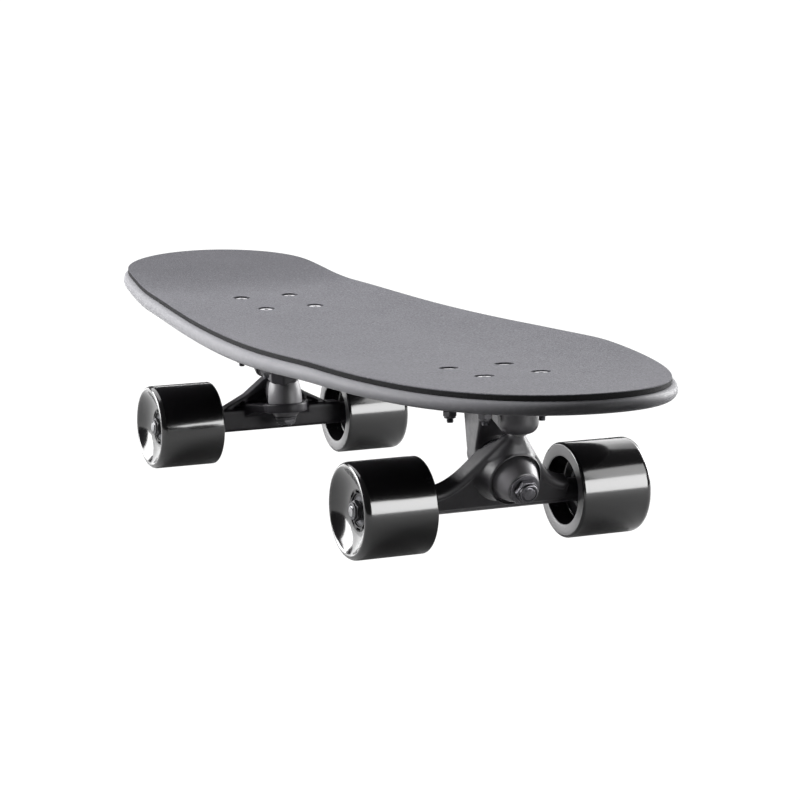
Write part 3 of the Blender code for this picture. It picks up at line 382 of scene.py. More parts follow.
def castFinish(name, specular):
    made = Finish(name, (0.03, 0.028, 0.033), 0.5, specular=specular)
    made.patches(0.1, 0.4, 0.7, 0.4, (0.038, 0.036, 0.042))
    made.paint(made.spread(made.edges(), 0.54, 0.64, 0, 0.5), (0.06, 0.058, 0.064))
    made.rough(made.noise(0.3), 0.3, 0.7, 0.42, 0.56)
    made.bump(made.noise(0.8, 2), 0.12, 0.12)
    return made.material


def urethaneFinish():
    made = Finish("black urethane", (0.007, 0.0065, 0.0075), 0.16, coat=0.25, coatRoughness=0.08)
    made.patches(0.05, 0.4, 0.7, 0.5, (0.01, 0.0095, 0.0108))
    made.paint(made.tint(), (0.075, 0.074, 0.078))
    made.rough(made.tint(), 0, 1, 0.15, 0.5)
    made.bump(made.noise(0.12, 2), 0.05, 0.1)
    return made.material


def bushingFinish(name, colour, patch):
    made = Finish(name, colour, 0.45)
    made.patches(0.15, 0.4, 0.7, 0.4, patch)
    made.bump(made.noise(0.5), 0.05, 0.06)
    return made.material


def metalFinish(name, colour, roughness, dark):
    made = Finish(name, colour, roughness, metallic=0.95)
    made.patches(0.5, 0.4, 0.75, 0.5, dark, detail=4)
    # Points with tint 1 are painted a flat dark grey: painted shade inside a bolt's socket and on its
    # threaded end under the deck, and the own colour of a lock nut's nylon ring and a bearing's shield
    made.paint(made.spread(made.tint(), 0.4, 0.6), (0.05, 0.05, 0.055))
    made.rough(made.noise(1.2), 0.3, 0.7, roughness - 0.08, roughness + 0.1)
    made.bump(made.noise(1.5), 0.08, 0.03)
    return made.material


def rubberFinish():
    made = Finish("riser rubber", (0.022, 0.022, 0.023), 0.68, specular=0.35)
    made.patches(0.08, 0.4, 0.7, 0.5, (0.036, 0.036, 0.038))
    made.bump(made.noise(0.9), 0.15, 0.08)
    return made.material


def plasticFinish(name, colour, light, roughness, specular=0.5):
    made = Finish(name, colour, roughness, specular=specular)
    made.patches(0.3, 0.4, 0.7, 0.5, light)
    made.bump(made.noise(0.8), 0.06, 0.05)
    return made.material


finishes = {
    "deck": deckFinish(),
    "pad": padFinish(),
    "rubber": rubberFinish(),
    "cast": castFinish("black cast metal", 0.5),
    "rearCast": castFinish("shaded cast metal", 0.18),
    "blackSteel": metalFinish("blackened steel", (0.085, 0.083, 0.09), 0.38, (0.04, 0.04, 0.043)),
    "zinc": metalFinish("dull zinc", (0.07, 0.069, 0.073), 0.6, (0.045, 0.045, 0.048)),
    "headSteel": metalFinish("worn steel head", (0.30, 0.297, 0.31), 0.45, (0.20, 0.20, 0.21)),
    "bearing": metalFinish("bearing shield", (0.02, 0.02, 0.021), 0.5, (0.014, 0.014, 0.015)),
    "steel": metalFinish("ground steel", (0.16, 0.16, 0.166), 0.4, (0.11, 0.11, 0.115)),
    "frontBushing": bushingFinish("grey urethane bushing", (0.27, 0.262, 0.28), (0.32, 0.312, 0.332)),
    "rearBushing": bushingFinish("harder urethane bushing", (0.15, 0.146, 0.157), (0.18, 0.176, 0.188)),
    "cup": plasticFinish("pivot cup nylon", (0.5, 0.5, 0.5), (0.56, 0.56, 0.55), 0.45),
    "urethane": urethaneFinish(),
    "core": plasticFinish("black nylon core", (0.010, 0.010, 0.011), (0.018, 0.018, 0.02), 0.5, 0.2),
}
print("finishes ready")


def makePiece(name, form, finish, body, slot, node, cuts=(), angle=creaseAngle):
    piece = meshPiece(name, form, finishes[finish], angle)
    if cuts:
        settle(piece, cuts)
    dress(piece, body, slot, node)


# The board

board = {
    "length": 741.5, "width": 233.6, "rimReach": 4.5, "tailThickness": 11.4, "noseThickness": 7.8,
    "padThickness": 3.9, "padReach": 0.8, "padEdge": 0.7, "padGap": 0.05, "padHole": 6.8,
    "lip": 1.1, "lipMore": 0.8, "lipLength": 120.0, "lipFrom": 0.6,
    "noseFrom": 90.0, "nosePower": 2.45, "taperFrom": 60.0, "taper": 25.0, "taperLength": 300.0,
    "taperPower": 1.2, "tailRound": 56.0, "flatShare": 0.34, "concavePower": 1.8,
    "frontConcave": 8.8, "frontConcaveAt": 150.0, "rearConcave": 5.0, "rearConcaveAt": -185.0,
    "frontHolesX": 205.05, "rearHolesX": -182.55, "frontUnder": 106.9, "rearUnder": 113.1,
    "frontTilt": 1.6, "rearTilt": -3.3, "seatReach": 50.0, "kickAngle": 10.8, "kickBlend": 45.0,
    "noseLift": 1.9, "sideBlend": 24.0, "concaveBlend": 14.0, "blendFade": 130.0,
    "stations": 300, "columns": 36, "rimRows": 11,
}
tip = board["length"] / 2 - board["rimReach"]
padHalf = board["width"] / 2 - board["rimReach"]
frontSlope = math.tan(math.radians(board["frontTilt"]))
rearSlope = math.tan(math.radians(board["rearTilt"]))


# The mean of a curve round x, weighted by exp(-step^2 / 2). Its reach fades to nothing at both tips.
def blended(curve, x, reach):
    steps = np.linspace(-2.4, 2.4, 25)
    weights = np.exp(-(steps**2) / 2)
    spread = reach * np.clip((tip - abs(x)) / board["blendFade"], 0, 1)
    return sum(weight * curve(x + spread * step) for weight, step in zip(weights / weights.sum(), steps))


# Half width of the pad: W (1 - s^power)^(1/2) to the nose, (W - taper) (1 - t^2)^(1/2) at the tail
def plainHalfWidth(x):
    s = np.clip((x - board["noseFrom"]) / (tip - board["noseFrom"]), 0, 1)
    run = np.maximum(0, board["taperFrom"] - x) / board["taperLength"]
    t = np.clip((board["tailRound"] - tip - x) / board["tailRound"], 0, 1)
    nose = padHalf * np.sqrt(1 - s ** board["nosePower"])
    tail = (padHalf - board["taper"] * run ** board["taperPower"]) * np.sqrt(1 - t**2)
    return np.where(x > board["noseFrom"], nose, tail)


def halfWidth(x):
    return blended(plainHalfWidth, x, board["sideBlend"])


# Height of the underside on the centre line: straight at each truck, a cubic between them, a lift
# that grows as the square of the distance at the nose, a kick that bends over kickBlend at the tail
def under(x):
    reach, fromFront, fromRear = board["seatReach"], x - board["frontHolesX"], x - board["rearHolesX"]
    noseRun = tip - board["frontHolesX"] - reach
    lift = board["noseLift"] * (np.maximum(0, fromFront - reach) / noseRun) ** 2
    front = board["frontUnder"] + frontSlope * fromFront + lift
    past = np.maximum(0, -reach - fromRear)
    bent = np.minimum(past, board["kickBlend"])
    kick = bent**2 / (2 * board["kickBlend"]) + past - bent
    kickSlope = math.tan(math.radians(board["kickAngle"])) + rearSlope
    rear = board["rearUnder"] + rearSlope * fromRear + kickSlope * kick
    length = board["frontHolesX"] - board["rearHolesX"] - 2 * reach
    t = (fromRear - reach) / length
    low, high = board["rearUnder"] + rearSlope * reach, board["frontUnder"] - frontSlope * reach
    middle = (2 * t**3 - 3 * t**2 + 1) * low + (3 * t**2 - 2 * t**3) * high
    middle += length * ((t**3 - 2 * t**2 + t) * rearSlope + (t**3 - t**2) * frontSlope)
    return np.where(fromFront >= -reach, front, np.where(fromRear <= reach, rear, middle))


# How far the edge stands above the centre line: it fades to both tips, with a smooth step between
def plainConcave(x):
    high, highAt = board["frontConcave"], board["frontConcaveAt"]
    low, lowAt = board["rearConcave"], board["rearConcaveAt"]
    front = high * np.maximum(0, (tip - x) / (tip - highAt)) ** 1.5
    rear = low * (1 - ((lowAt - x) / (tip + lowAt)) ** 2)
    t = (x - lowAt) / (highAt - lowAt)
    middle = low + (high - low) * t * t * (3 - 2 * t)
    return np.where(x >= highAt, front, np.where(x <= lowAt, rear, middle))


def underside(x, share):
    beyond = np.maximum(0, (abs(share) - board["flatShare"]) / (1 - board["flatShare"]))
    return under(x) + blended(plainConcave, x, board["concaveBlend"]) * beyond ** board["concavePower"]


def thickness(x, share=0.0):
    return board["tailThickness"] + (board["noseThickness"] - board["tailThickness"]) * (x + tip) / (2 * tip)


# The underside's rim hangs lower, and most between the trucks: lip (1 + more exp(-(x / length)^2))
# times the square of the way from lipFrom of the half width to the edge
def lip(x, share):
    depth = board["lip"] * (1 + board["lipMore"] * np.exp(-((x / board["lipLength"]) ** 2)))
    return -depth * np.clip((abs(share) - board["lipFrom"]) / (1 - board["lipFrom"]), 0, 1) ** 2


# The board's outline once round, as x, the side and the direction square to it
def outlineRound():
    x = -tip * np.cos(np.linspace(0, math.pi, board["stations"]))
    side = np.concatenate([np.ones(len(x)), -np.ones(len(x) - 2)])
    x = np.concatenate([x, x[-2:0:-1]])
    step = 0.3
    slope = (halfWidth(np.minimum(x + step, tip)) - halfWidth(np.maximum(x - step, -tip))) / (2 * step)
    out = leftOf(np.stack([side, slope], -1))
    atTip = np.isclose(abs(x), tip)
    out[atTip] = np.stack([np.sign(x), 0 * x], -1)[atTip]
    return x, side, out


# A sheet over the board: z = underside + lift at each share of the half width, closed by rows round
# the rim, each at (reach beyond the outline, share of the way up, tint)
def boardForm(lower, upper, rim):
    x = -tip * np.cos(np.linspace(0, math.pi, board["stations"]))[:, None]
    share = np.linspace(-1, 1, board["columns"] + 1)
    y, z = share * halfWidth(x), underside(x, share)
    sheets = [sheetForm(stacked(x, y, z + lift(x, share))) for lift in (lower, upper)]
    x, side, out = outlineRound()
    reach, up, tint = np.array(rim).T[:, :, None]
    z = underside(x, 1.0) + (1 - up) * lower(x, 1.0) + up * upper(x, 1.0)
    edge = stacked(x + out[:, 0] * reach, side * halfWidth(x) + out[:, 1] * reach, z)
    return joinForms([*sheets, sheetForm(edge, roundColumns=True, tint=tint)])


def seatPlace(end):
    slope, facing = (frontSlope, 1) if end == "front" else (rearSlope, -1)
    x, z = board[end + "HolesX"], board[end + "Under"]
    return placed((x, 0, z), (facing, 0, facing * slope), (-slope, 0, 1))


def deckTop(end):
    tilt = math.radians(abs(board[end + "Tilt"]))
    return float(thickness(board[end + "HolesX"])) * math.cos(tilt)


holes = {"length": 54.0, "width": 41.3}
holePlaces = [shifted(x * holes["length"] / 2, y * holes["width"] / 2, 0) for x in (1, -1) for y in (1, -1)]
bolt = {
    "radius": 2.4, "headRadius": 5.2, "headHeight": 2.4, "headProud": 3.1, "tip": 3.0, "flats": 8.7,
    "nutHeight": 5.0, "pitch": 0.8, "space": 2.7, "headSpace": 5.4, "socket": 3.0, "socketDepth": 2.2,
}


def atHoles(form, seat):
    return [movedForm(form, seat @ place) for place in holePlaces]


def boltSpaces(end, low=-60.0):
    top, narrow, wide = deckTop(end), bolt["space"], bolt["headSpace"]
    corners = [(0, top + 2), (wide, top + 2), (wide, top), (narrow, top + narrow - wide + 0.1)]
    corners += [(narrow, low), (0, low)]
    return atHoles(turnedForm(corners, steps=40), seatPlace(end))


def makeDeck():
    turns = np.linspace(-math.pi / 2, math.pi / 2, board["rimRows"])
    rim = [(board["rimReach"] * math.cos(t), 0.5 + 0.5 * math.sin(t), 0.0) for t in turns]
    cuts = boltSpaces("front", -5) + boltSpaces("rear", -5)
    makePiece("deckShell", boardForm(lip, thickness, rim), "deck", "board", "deck", "deck", cuts)


# The pad's rim is upright, and rounds over at the top: edge * (1 - cos t) inward, edge * (1 - sin t) down
def makePad():
    reach, edge, gap, high = (board[name] for name in ("padReach", "padEdge", "padGap", "padThickness"))
    share = edge / (high - gap)
    rim = [(0.0, 0.0, 1.0), (reach, 0.0, 1.0), (reach, 1 - share, 1.0)]
    for t in np.linspace(0.2, 1, 5) * math.pi / 2:
        rim.append((reach - edge * (1 - math.cos(t)), 1 - share * (1 - math.sin(t)), 0.0))
    rim.append((0.0, 1.0, 0.0))
    form = boardForm(lambda x, share: thickness(x) + gap, lambda x, share: thickness(x) + high, rim)
    cuts = []
    for end in ("front", "rear"):
        cuts += atHoles(drum(board["padHole"], 0, deckTop(end) + high + 2, steps=48), seatPlace(end))
    makePiece("tractionPad", form, "pad", "board", "pad", "grip_pad", cuts)


makeDeck()
makePad()
print("board ready")


# Both trucks. Places are (outward, up) from the middle of the axle; heights along the kingpin start
# at the ring's centre and grow toward the nut.

axleHalf, wheelRadius, plateThickness, touch = 197.75, 32.5, 8.0, 0.3
seatRadius, kingpinRadius, cupRadius = 14.9, 4.75, 7.0
trucks = {
    "front": {
        "ring": (23.85, 22.2), "kingpinAngle": -19.0, "pivotUp": 36.5, "steerAngle": 29.4,
        "roadFloor": 10.5, "boardFloor": -4.3, "roadBushing": 15.5,
        "nutDrop": 0.0, "washerGap": 0.3, "nut": 6.2,
        "plateTop": -0.3, "plateIn": 37.0, "plateOut": 46.0, "lugOut": 3.5, "lugIn": 7.6,
    },
    "rear": {
        "ring": (-26.75, 11.7), "kingpinAngle": 265.0, "pivotAt": (16.0, 39.5),
        "roadFloor": 2.8, "boardFloor": -2.8, "roadBushing": 2.4,
        "nutDrop": 2.0, "washerGap": 0.0, "nut": 4.6,
        "plateTop": -24.6, "plateIn": 40.0, "plateOut": 44.0, "lugOut": 0.0, "lugIn": 0.0,
    },
}
boardBushing, washerThickness, pinProud = 13.5, 1.3, 0.7


def sidePlace(at, way):
    return placed((at[0], 0, at[1]), (way[1], 0, -way[0]), (way[0], 0, way[1]))


def wayAt(degrees):
    return np.array((math.cos(math.radians(degrees)), math.sin(math.radians(degrees))))


def finishTruck(end, truck):
    facing = 1 if end == "front" else -1
    ring, way = np.array(truck["ring"]), wayAt(truck["kingpinAngle"])
    if end == "front":
        steerWay = wayAt(90 - truck["steerAngle"])
        pivotAt = ring + steerWay * truck["pivotUp"]
    else:
        pivotAt = np.array(truck["pivotAt"])
        steerWay = unit(pivotAt - ring)
    root = placed((facing * axleHalf, 0, wheelRadius), (facing, 0, 0), (0, 0, 1))
    washerLow = truck["roadFloor"] + truck["roadBushing"] + 2 * touch
    nutLow = washerLow + washerThickness + truck["washerGap"]
    truck.update({
        "end": end, "ring": ring, "kingpinWay": way, "steerWay": steerWay, "pivotAt": pivotAt,
        "steerReach": float(np.linalg.norm(pivotAt - ring)), "seat": seatPlace(end), "root": root,
        "boardSeat": truck["boardFloor"] - boardBushing - 2 * touch, "washerLow": washerLow,
        "nutLow": nutLow, "nutHigh": nutLow + truck["nut"], "pinEnd": nutLow + truck["nut"] + pinProud,
        "plateLow": truck["plateTop"] - plateThickness, "hanger": end + "_hanger_set",
        "pin": root @ sidePlace(ring, way), "steer": root @ sidePlace(ring, steerWay),
        "cup": root @ sidePlace(pivotAt, steerWay), "axle": root @ alongAxle,
    })


for end, truck in trucks.items():
    finishTruck(end, truck)


# How far a line from a point in the side plane runs until it is halfway into the plate
def runToPlate(truck, start, way):
    inward = np.linalg.inv(truck["seat"]) @ truck["root"]
    height = (inward @ (start[0], 0, start[1], 1))[2]
    rise = (inward[:3, :3] @ (way[0], 0, way[1]))[2]
    return (truck["plateLow"] + plateThickness / 2 - height) / rise


def inPlate(truck, across):
    return np.array((across, runToPlate(truck, (across, 0), (0, 1))))


# A hexagon's radius at each turn: flats / 2 / cos(turn from the nearest flat)
def hexRadius(flats, turn):
    return flats / 2 / np.cos((turn + math.pi / 6) % (math.pi / 3) - math.pi / 6)


# Shares of the nut's height, of its flats and of the way from its bore to its crown
lockNut = {
    "collar": 0.28, "face": 0.97, "chamferAngle": 30.0, "neck": 0.46, "crown": 0.40, "nylon": 0.35,
    "nylonDeep": 0.5,
}


# A lock nut: each ring of points is the hexagon, held inside a cone at both ends for the chamfers,
# then a round collar with a nylon ring, and the bore
def nutForm(flats, low, high, bore, collar=lockNut["collar"]):
    turn, up, swing = roundTurn(96), np.linspace(0, 1, 6), np.linspace(0, math.pi / 2, 5)
    widest, narrow = hexRadius(flats, math.pi / 6), flats / 2 * lockNut["face"]
    hexTop = high - (high - low) * collar
    rise = (widest - narrow) * math.tan(math.radians(lockNut["chamferAngle"]))
    cone = narrow + (widest - narrow) * up
    rings = [(bore, hexTop + (low - hexTop) * up, 0)]
    rings += [(cone, low + rise * up, 0), (cone[::-1], hexTop - rise * up[::-1], 0)]
    if collar:
        neck, crown, half = flats * lockNut["neck"], flats * lockNut["crown"], (high - hexTop) / 2
        inside, sunk = bore + (crown - bore) * lockNut["nylon"], high - lockNut["nylonDeep"]
        rings += [(neck, [hexTop, high - half], 0)]
        rings += [(crown + (neck - crown) * np.cos(swing), high - half * (1 - np.sin(swing)), 0)]
        rings += [([inside, inside, bore], [high, sunk, sunk], 1)]
    radius, height, tint = np.concatenate([stacked(*ring) for ring in rings]).T[:, :, None]
    points = roundPoints(np.minimum(radius, hexRadius(flats, turn)), turn, height)
    return sheetForm(points, roundRows=True, roundColumns=True, tint=tint)


# A threaded rod: radius less depth * ridge, where ridge falls and rises once for each pitch of
# height, and the phase turns once with the angle; the ends taper.
def threadForm(radius, low, high, pitch, steps, depth=None):
    depth = depth or 0.5 * pitch
    turn = roundTurn(steps)
    height = np.linspace(low, high, max(3, int((high - low) / pitch * 8)))[:, None]
    ridge = abs((height / pitch - turn / math.tau) % 1 - 0.5) * 2
    fade = np.clip((high - height) / pitch, 0, 1)
    r = radius - depth * (ridge * np.clip((height - low) / pitch, 0, 1)) - (1 - fade) * depth
    r, height = np.pad(r, ((1, 1), (0, 0))), np.pad(height, ((1, 1), (0, 0)), "edge")
    return sheetForm(roundPoints(r, turn, height), roundColumns=True)


# A flat-headed bolt, head up: the socket's rings follow a hexagon
def boltForm(top, end):
    turn = roundTurn(48)
    socket, head, shank = hexRadius(bolt["socket"], turn), bolt["headRadius"], bolt["radius"]
    low, high, last = top - bolt["headHeight"], top + bolt["headProud"], end + bolt["tip"] + 6
    floor = high - bolt["socketDepth"]
    # The socket's inside carries tint 1, which the metal finish paints dark: painted shade in the recess
    rings = [
        (0, floor, 1), (socket * 0.98, floor, 1), (socket, high - 0.15, 1), (socket + 0.15, high, 0),
        (head - 0.7, high, 0), (head - 0.2, high - 0.2, 0), (head, high - 0.6, 0), (head, top, 0),
        (shank, low, 0), (shank, last, 0), (0, last, 0),
    ]
    points = np.array([roundPoints(radius, turn, z) for radius, z, _ in rings])
    head = sheetForm(points, roundColumns=True, tint=[ring[2] for ring in rings])
    thread = threadForm(shank, -last - 0.5, -end, bolt["pitch"], steps=32, depth=0.25)
    # The thread carries tint 1 too: painted shade on the bolt's end under the deck
    return joinForms([head, upsideDown(thread, tint=1)])


def lugLength(truck, place):
    return truck["lugOut" if place[0, 3] > 0 else "lugIn"]


def makeBolts(truck):
    for number, place in enumerate(holePlaces, 1):
        nutTop = truck["plateLow"] - lugLength(truck, place) - touch
        end, at = nutTop - bolt["nutHeight"] - bolt["tip"], truck["seat"] @ place
        form = movedForm(boltForm(deckTop(truck["end"]), end), at)
        node = f"{truck['end']}_bolt_{number}"
        makePiece(f"{truck['end']}Bolt{number}", form, "headSteel", "board", "black_steel", node)
        nut = nutForm(bolt["flats"], -nutTop, bolt["nutHeight"] - nutTop, bolt["radius"] + 0.05)
        form, node = movedForm(upsideDown(nut), at), f"{truck['end']}_lock_nut_{number}"
        makePiece(f"{truck['end']}LockNut{number}", form, "zinc", "board", "zinc", node)


plate = {"width": 56.0, "corner": 8.0, "edge": 1.5}
riser = {"height": 24.0, "edge": 1.2}


def plateOutline(truck):
    return roundedRectangle(-truck["plateIn"], truck["plateOut"], plate["width"] / 2, plate["corner"])


def makeRiser(truck):
    block = prismForm(plateOutline(truck), -riser["height"] - touch, -touch, riser["edge"])
    form = movedForm(block, truck["seat"])
    makePiece("riserBlock", form, "rubber", "board", "rubber", "rear_riser", boltSpaces("rear"))


for truck in trucks.values():
    makeBolts(truck)
makeRiser(trucks["rear"])
print("bolts and riser ready")


# Baseplates

kingpinFlats = 14.3
lug = {"radius": 5.5, "edge": 0.8, "foot": 1.5}
cup = {"inner": 4.8, "skirt": 3.5, "floor": 7.0, "gap": 0.05, "mouth": 16.0}
shaft = {"headDeep": 22.0, "headRoom": 0.3, "room": 0.15, "above": 2.0}


def plateForms(truck):
    form = prismForm(plateOutline(truck), truck["plateLow"], truck["plateTop"], plate["edge"])
    forms = [movedForm(form, truck["seat"])]
    for place in holePlaces:
        length = lugLength(truck, place)
        if length:
            low, high = truck["plateLow"] - length, truck["plateLow"] + lug["foot"]
            post = drum(lug["radius"], low, high, lowEdge=lug["edge"])
            forms.append(movedForm(post, truck["seat"] @ place))
    return forms


def plateCuts(truck):
    headAt, high = truck["headAt"], truck["boardSeat"] + shaft["above"]
    low, narrow = headAt - shaft["headDeep"], kingpinRadius + shaft["room"]
    head = kingpinFlats / math.sqrt(3) + shaft["headRoom"]
    corners = [(0, low), (head, low), (head, headAt), (narrow, headAt), (narrow, high), (0, high)]
    socket = drum(cupRadius + cup["gap"], -cup["mouth"], cup["floor"] + cup["gap"], steps=64)
    bore = turnedForm(corners, steps=64)
    return boltSpaces(truck["end"]) + [movedForm(socket, truck["cup"]), movedForm(bore, truck["pin"])]


leg = {
    "halfWidth": 14.8, "depth": 17.0, "root": 32.2, "edge": 1.6, "bevel": 3.9, "under": 1.2, "corner": 3.0,
}
gusset = {"from": (6.85, 64.7), "rise": 1.0, "width": 24.0, "edge": 1.5}
boss = {"wall": 5.9, "drop": 5.0, "edge": 7.5}


# The leg's foot is round about the kingpin; above the kingpin the leg deepens toward the plate
def legForms(truck):
    ring, way, half, bevel = truck["ring"], truck["kingpinWay"], leg["halfWidth"], leg["bevel"]
    up = np.array((-way[1], way[0]))
    low, high = truck["headAt"] - leg["under"], truck["boardSeat"] - leg["under"]
    front, back = ring + way * high, ring + way * low
    run = runToPlate(truck, front, up)
    foot = roundPoints(half, np.linspace(-math.pi / 2, math.pi / 2, 25), 0)[:, :2]
    outline = np.concatenate([foot, [(-run, half), (-run, -half)]])
    outer = prismForm(outline, low + bevel, high, leg["edge"])
    inner = prismForm(outline * (1, (half - bevel) / half), low, truck["boardSeat"] - 4, leg["edge"])
    root = front + up * run
    corners = [front, root, inPlate(truck, root[0] - leg["root"]), (*(back + way * bevel), leg["corner"])]
    side = sideForm(filleted(corners, arcPoints=9)[0], half, leg["edge"], truck["root"])
    return [movedForm(outer, truck["pin"]), movedForm(inner, truck["pin"]), side]


def makeFrontBaseplate(truck):
    truck["headAt"] = truck["boardSeat"] - leg["depth"]
    x, z = truck["pivotAt"]
    top = runToPlate(truck, (x, z), (0, 1))
    pivotBoss = drum(cupRadius + touch + boss["wall"], -boss["drop"], top, lowEdge=boss["edge"])
    start, foot = np.array(gusset["from"]), inPlate(truck, x)
    rib = [inPlate(truck, start[0]), start, (x, z - boss["drop"] + gusset["rise"]), foot]
    seat = drum(seatRadius, truck["boardSeat"] - 3.0, truck["boardSeat"], highEdge=0.8)
    forms = plateForms(truck) + legForms(truck) + [
        movedForm(pivotBoss, truck["root"] @ shifted(x, 0, z)),
        sideForm(rib, gusset["width"] / 2, gusset["edge"], truck["root"]), movedForm(seat, truck["pin"]),
    ]
    castPiece("frontBaseplateCasting", forms, plateCuts(truck), "cast", "board", "front_baseplate")


rearBoss = {
    "root": 14.6, "foot": 13.4, "sides": 8, "slant": 8.0, "lift": 6.1, "gap": 0.4, "headDeep": 7.0,
    "wall": 3.5, "blockEdge": 1.5, "sleeve": 11.0, "mouth": 12.3, "mouthFlare": 0.3, "mouthDeep": 6.0,
}


# An eight-sided boss, whose foot is lowest at the corner on the ring's open side
def rearBossForm(truck, root):
    turn = roundTurn(rearBoss["sides"]) + math.pi / rearBoss["sides"]
    lift = np.minimum(rearBoss["lift"], rearBoss["slant"] * (1 - np.cos(turn - turn[0])))
    foot = roundPoints(rearBoss["foot"], turn, truck["boardSeat"] - rearBoss["gap"] - lift)
    return movedForm(loftForm(np.array([roundPoints(rearBoss["root"], turn, root), foot])), truck["pin"])


def makeRearBaseplate(truck):
    way, seat, along, skirt = truck["kingpinWay"], truck["boardSeat"], truck["steerWay"], cup["skirt"]
    root = seat + runToPlate(truck, truck["ring"] + way * seat, way)
    truck["headAt"] = root - plateThickness / 2 + rearBoss["headDeep"]
    wall = cupRadius + touch + rearBoss["wall"]
    up = np.array((-along[1], along[0]))
    back = truck["pivotAt"] + along * wall - up * wall / 2
    front = truck["pivotAt"] - along * skirt + up * wall
    top = front + up * runToPlate(truck, front, up)
    corners = [truck["pivotAt"], (*back, 3.0), inPlate(truck, back[0]), top, (*front, 2.0)]
    block = sideForm(filleted(corners)[0], wall / 2, rearBoss["blockEdge"], truck["root"])
    sleeve = movedForm(drum(wall - 2, -skirt, rearBoss["sleeve"], 1.2, 5.0), truck["cup"])
    mouth, low, high = rearBoss["mouth"], seat - rearBoss["mouthDeep"], seat + rearBoss["mouthDeep"]
    space = turnedForm([(0, low), (mouth, low), (mouth + rearBoss["mouthFlare"], high), (0, high)])
    forms = plateForms(truck) + [rearBossForm(truck, root), block, sleeve]
    cuts = plateCuts(truck) + [movedForm(space, truck["pin"])]
    castPiece("rearBaseplateCasting", forms, cuts, "rearCast", "board", "rear_baseplate")


makeFrontBaseplate(trucks["front"])
makeRearBaseplate(trucks["rear"])
print("baseplates ready")


# Hangers

bar = {"end": 65.9, "radius": 8.0, "axle": 4.0, "edge": 1.0}
ball = {"radius": 4.5, "root": 5.0, "fillet": 4.0}


def barForm(truck):
    return movedForm(drum(bar["radius"], -bar["end"], bar["end"], bar["edge"], bar["edge"]), truck["axle"])


def axleBore(truck):
    return movedForm(drum(bar["axle"] + 0.08, -70, 70, steps=48), truck["axle"])


# The corners of a ball's upper half, from its side to its top
def ballCorners(radius):
    swing = np.linspace(0, math.pi / 2, 8)[:-1]
    return [(radius * math.cos(t), radius * math.sin(t)) for t in swing] + [(0, radius)]


def pivotForm(truck, neck, base):
    corners = [(0, -neck), (base, -neck), (ball["radius"], -ball["root"], ball["fillet"])]
    return movedForm(turnedForm(corners + ballCorners(ball["radius"])), truck["cup"])


def collarForm(truck, low, high, wall):
    return movedForm(drum(seatRadius + wall, low, high, 1.0, 1.2), truck["pin"])


# The ring's two bushing seats, and its bore, which is wide because the ring tilts round the kingpin
def ringSpace(truck, low, high):
    bore, near, far = 2 * kingpinRadius, truck["boardFloor"], truck["roadFloor"]
    corners = [(0, low), (seatRadius, low), (seatRadius, near), (bore, near)]
    corners += [(bore, far), (seatRadius, far), (seatRadius, high), (0, high)]
    return movedForm(turnedForm(corners), truck["pin"])


aFrame = {
    "apexHalf": 5.5, "apexUp": 30.3, "shoulderHalf": 28.0, "shoulderDown": 1.1, "armHalf": 51.5,
    "armDown": 16.5, "footDown": 31.0, "footCorner": 5.0, "faceOut": 1.6, "depth": 13.0, "skin": 5.0,
    "edge": 1.6, "wall": 4.5, "rail": 3.0, "collarWall": 3.8, "collarIn": 7.8, "collarOut": 14.0,
    "lipWall": 3.9, "lipRoom": 3.0, "lipEdge": 0.6, "bell": 24.0, "bellPower": 2.4, "bellInset": 2.6,
    "sunk": 1.2, "neckFrom": 7.6, "neckTo": 27.0, "neckSlope": 0.62, "neckDeep": 4.4, "neckInset": 1.4,
    "neckFade": 8.0, "neckPower": 0.8, "backClear": 6.0, "backThin": 1.0, "backThick": 9.0,
    "armReach": 18.5, "armBase": 9.0, "apexGap": 2.0, "thinFrom": 11.0, "thinTo": (-1.5, 28.5),
}
aFrameSlope = (aFrame["shoulderHalf"] - aFrame["apexHalf"]) / (aFrame["apexUp"] + aFrame["shoulderDown"])
aFrameElbow = aFrame["shoulderHalf"] + aFrameSlope * (aFrame["armDown"] - aFrame["shoulderDown"])
aFrameBack = aFrame["faceOut"] - aFrame["depth"]


# The A-frame's outline: a straight side, then a quadratic curve through the elbow into the arm
def aFrameOutline():
    t = np.linspace(0, 1, 15)[:, None]
    start = np.array((aFrame["shoulderHalf"], -aFrame["shoulderDown"]))
    elbow, last = (np.array((half, -aFrame["armDown"])) for half in (aFrameElbow, aFrame["armHalf"]))
    flare = (1 - t) ** 2 * start + 2 * t * (1 - t) * elbow + t**2 * last
    foot = aFrame["footDown"]
    corner = filleted([last, (aFrame["armHalf"], -foot, aFrame["footCorner"]), (0, -foot)], closed=False)[0]
    side = np.linspace((aFrame["apexHalf"], aFrame["apexUp"]), start, 12)[:-1]
    return np.array(mirrored(np.concatenate([side, flare, corner[1:-1]])))


def aFramePocket():
    wall = aFrame["wall"] * math.sqrt(1 + aFrameSlope**2)
    low, high = aFrame["wall"] - aFrame["footDown"], aFrame["apexUp"] - 2 * aFrame["wall"]
    top = aFrame["apexHalf"] + aFrameSlope * (aFrame["apexUp"] - high) - wall
    half = [(top, high, 1.0), (aFrameElbow - wall, -aFrame["armDown"], 3.0), (aFrameElbow - wall, low, 2.0)]
    return prismForm(filleted(mirrored(half))[0], aFrameBack - 2, aFrame["faceOut"] - aFrame["skin"])


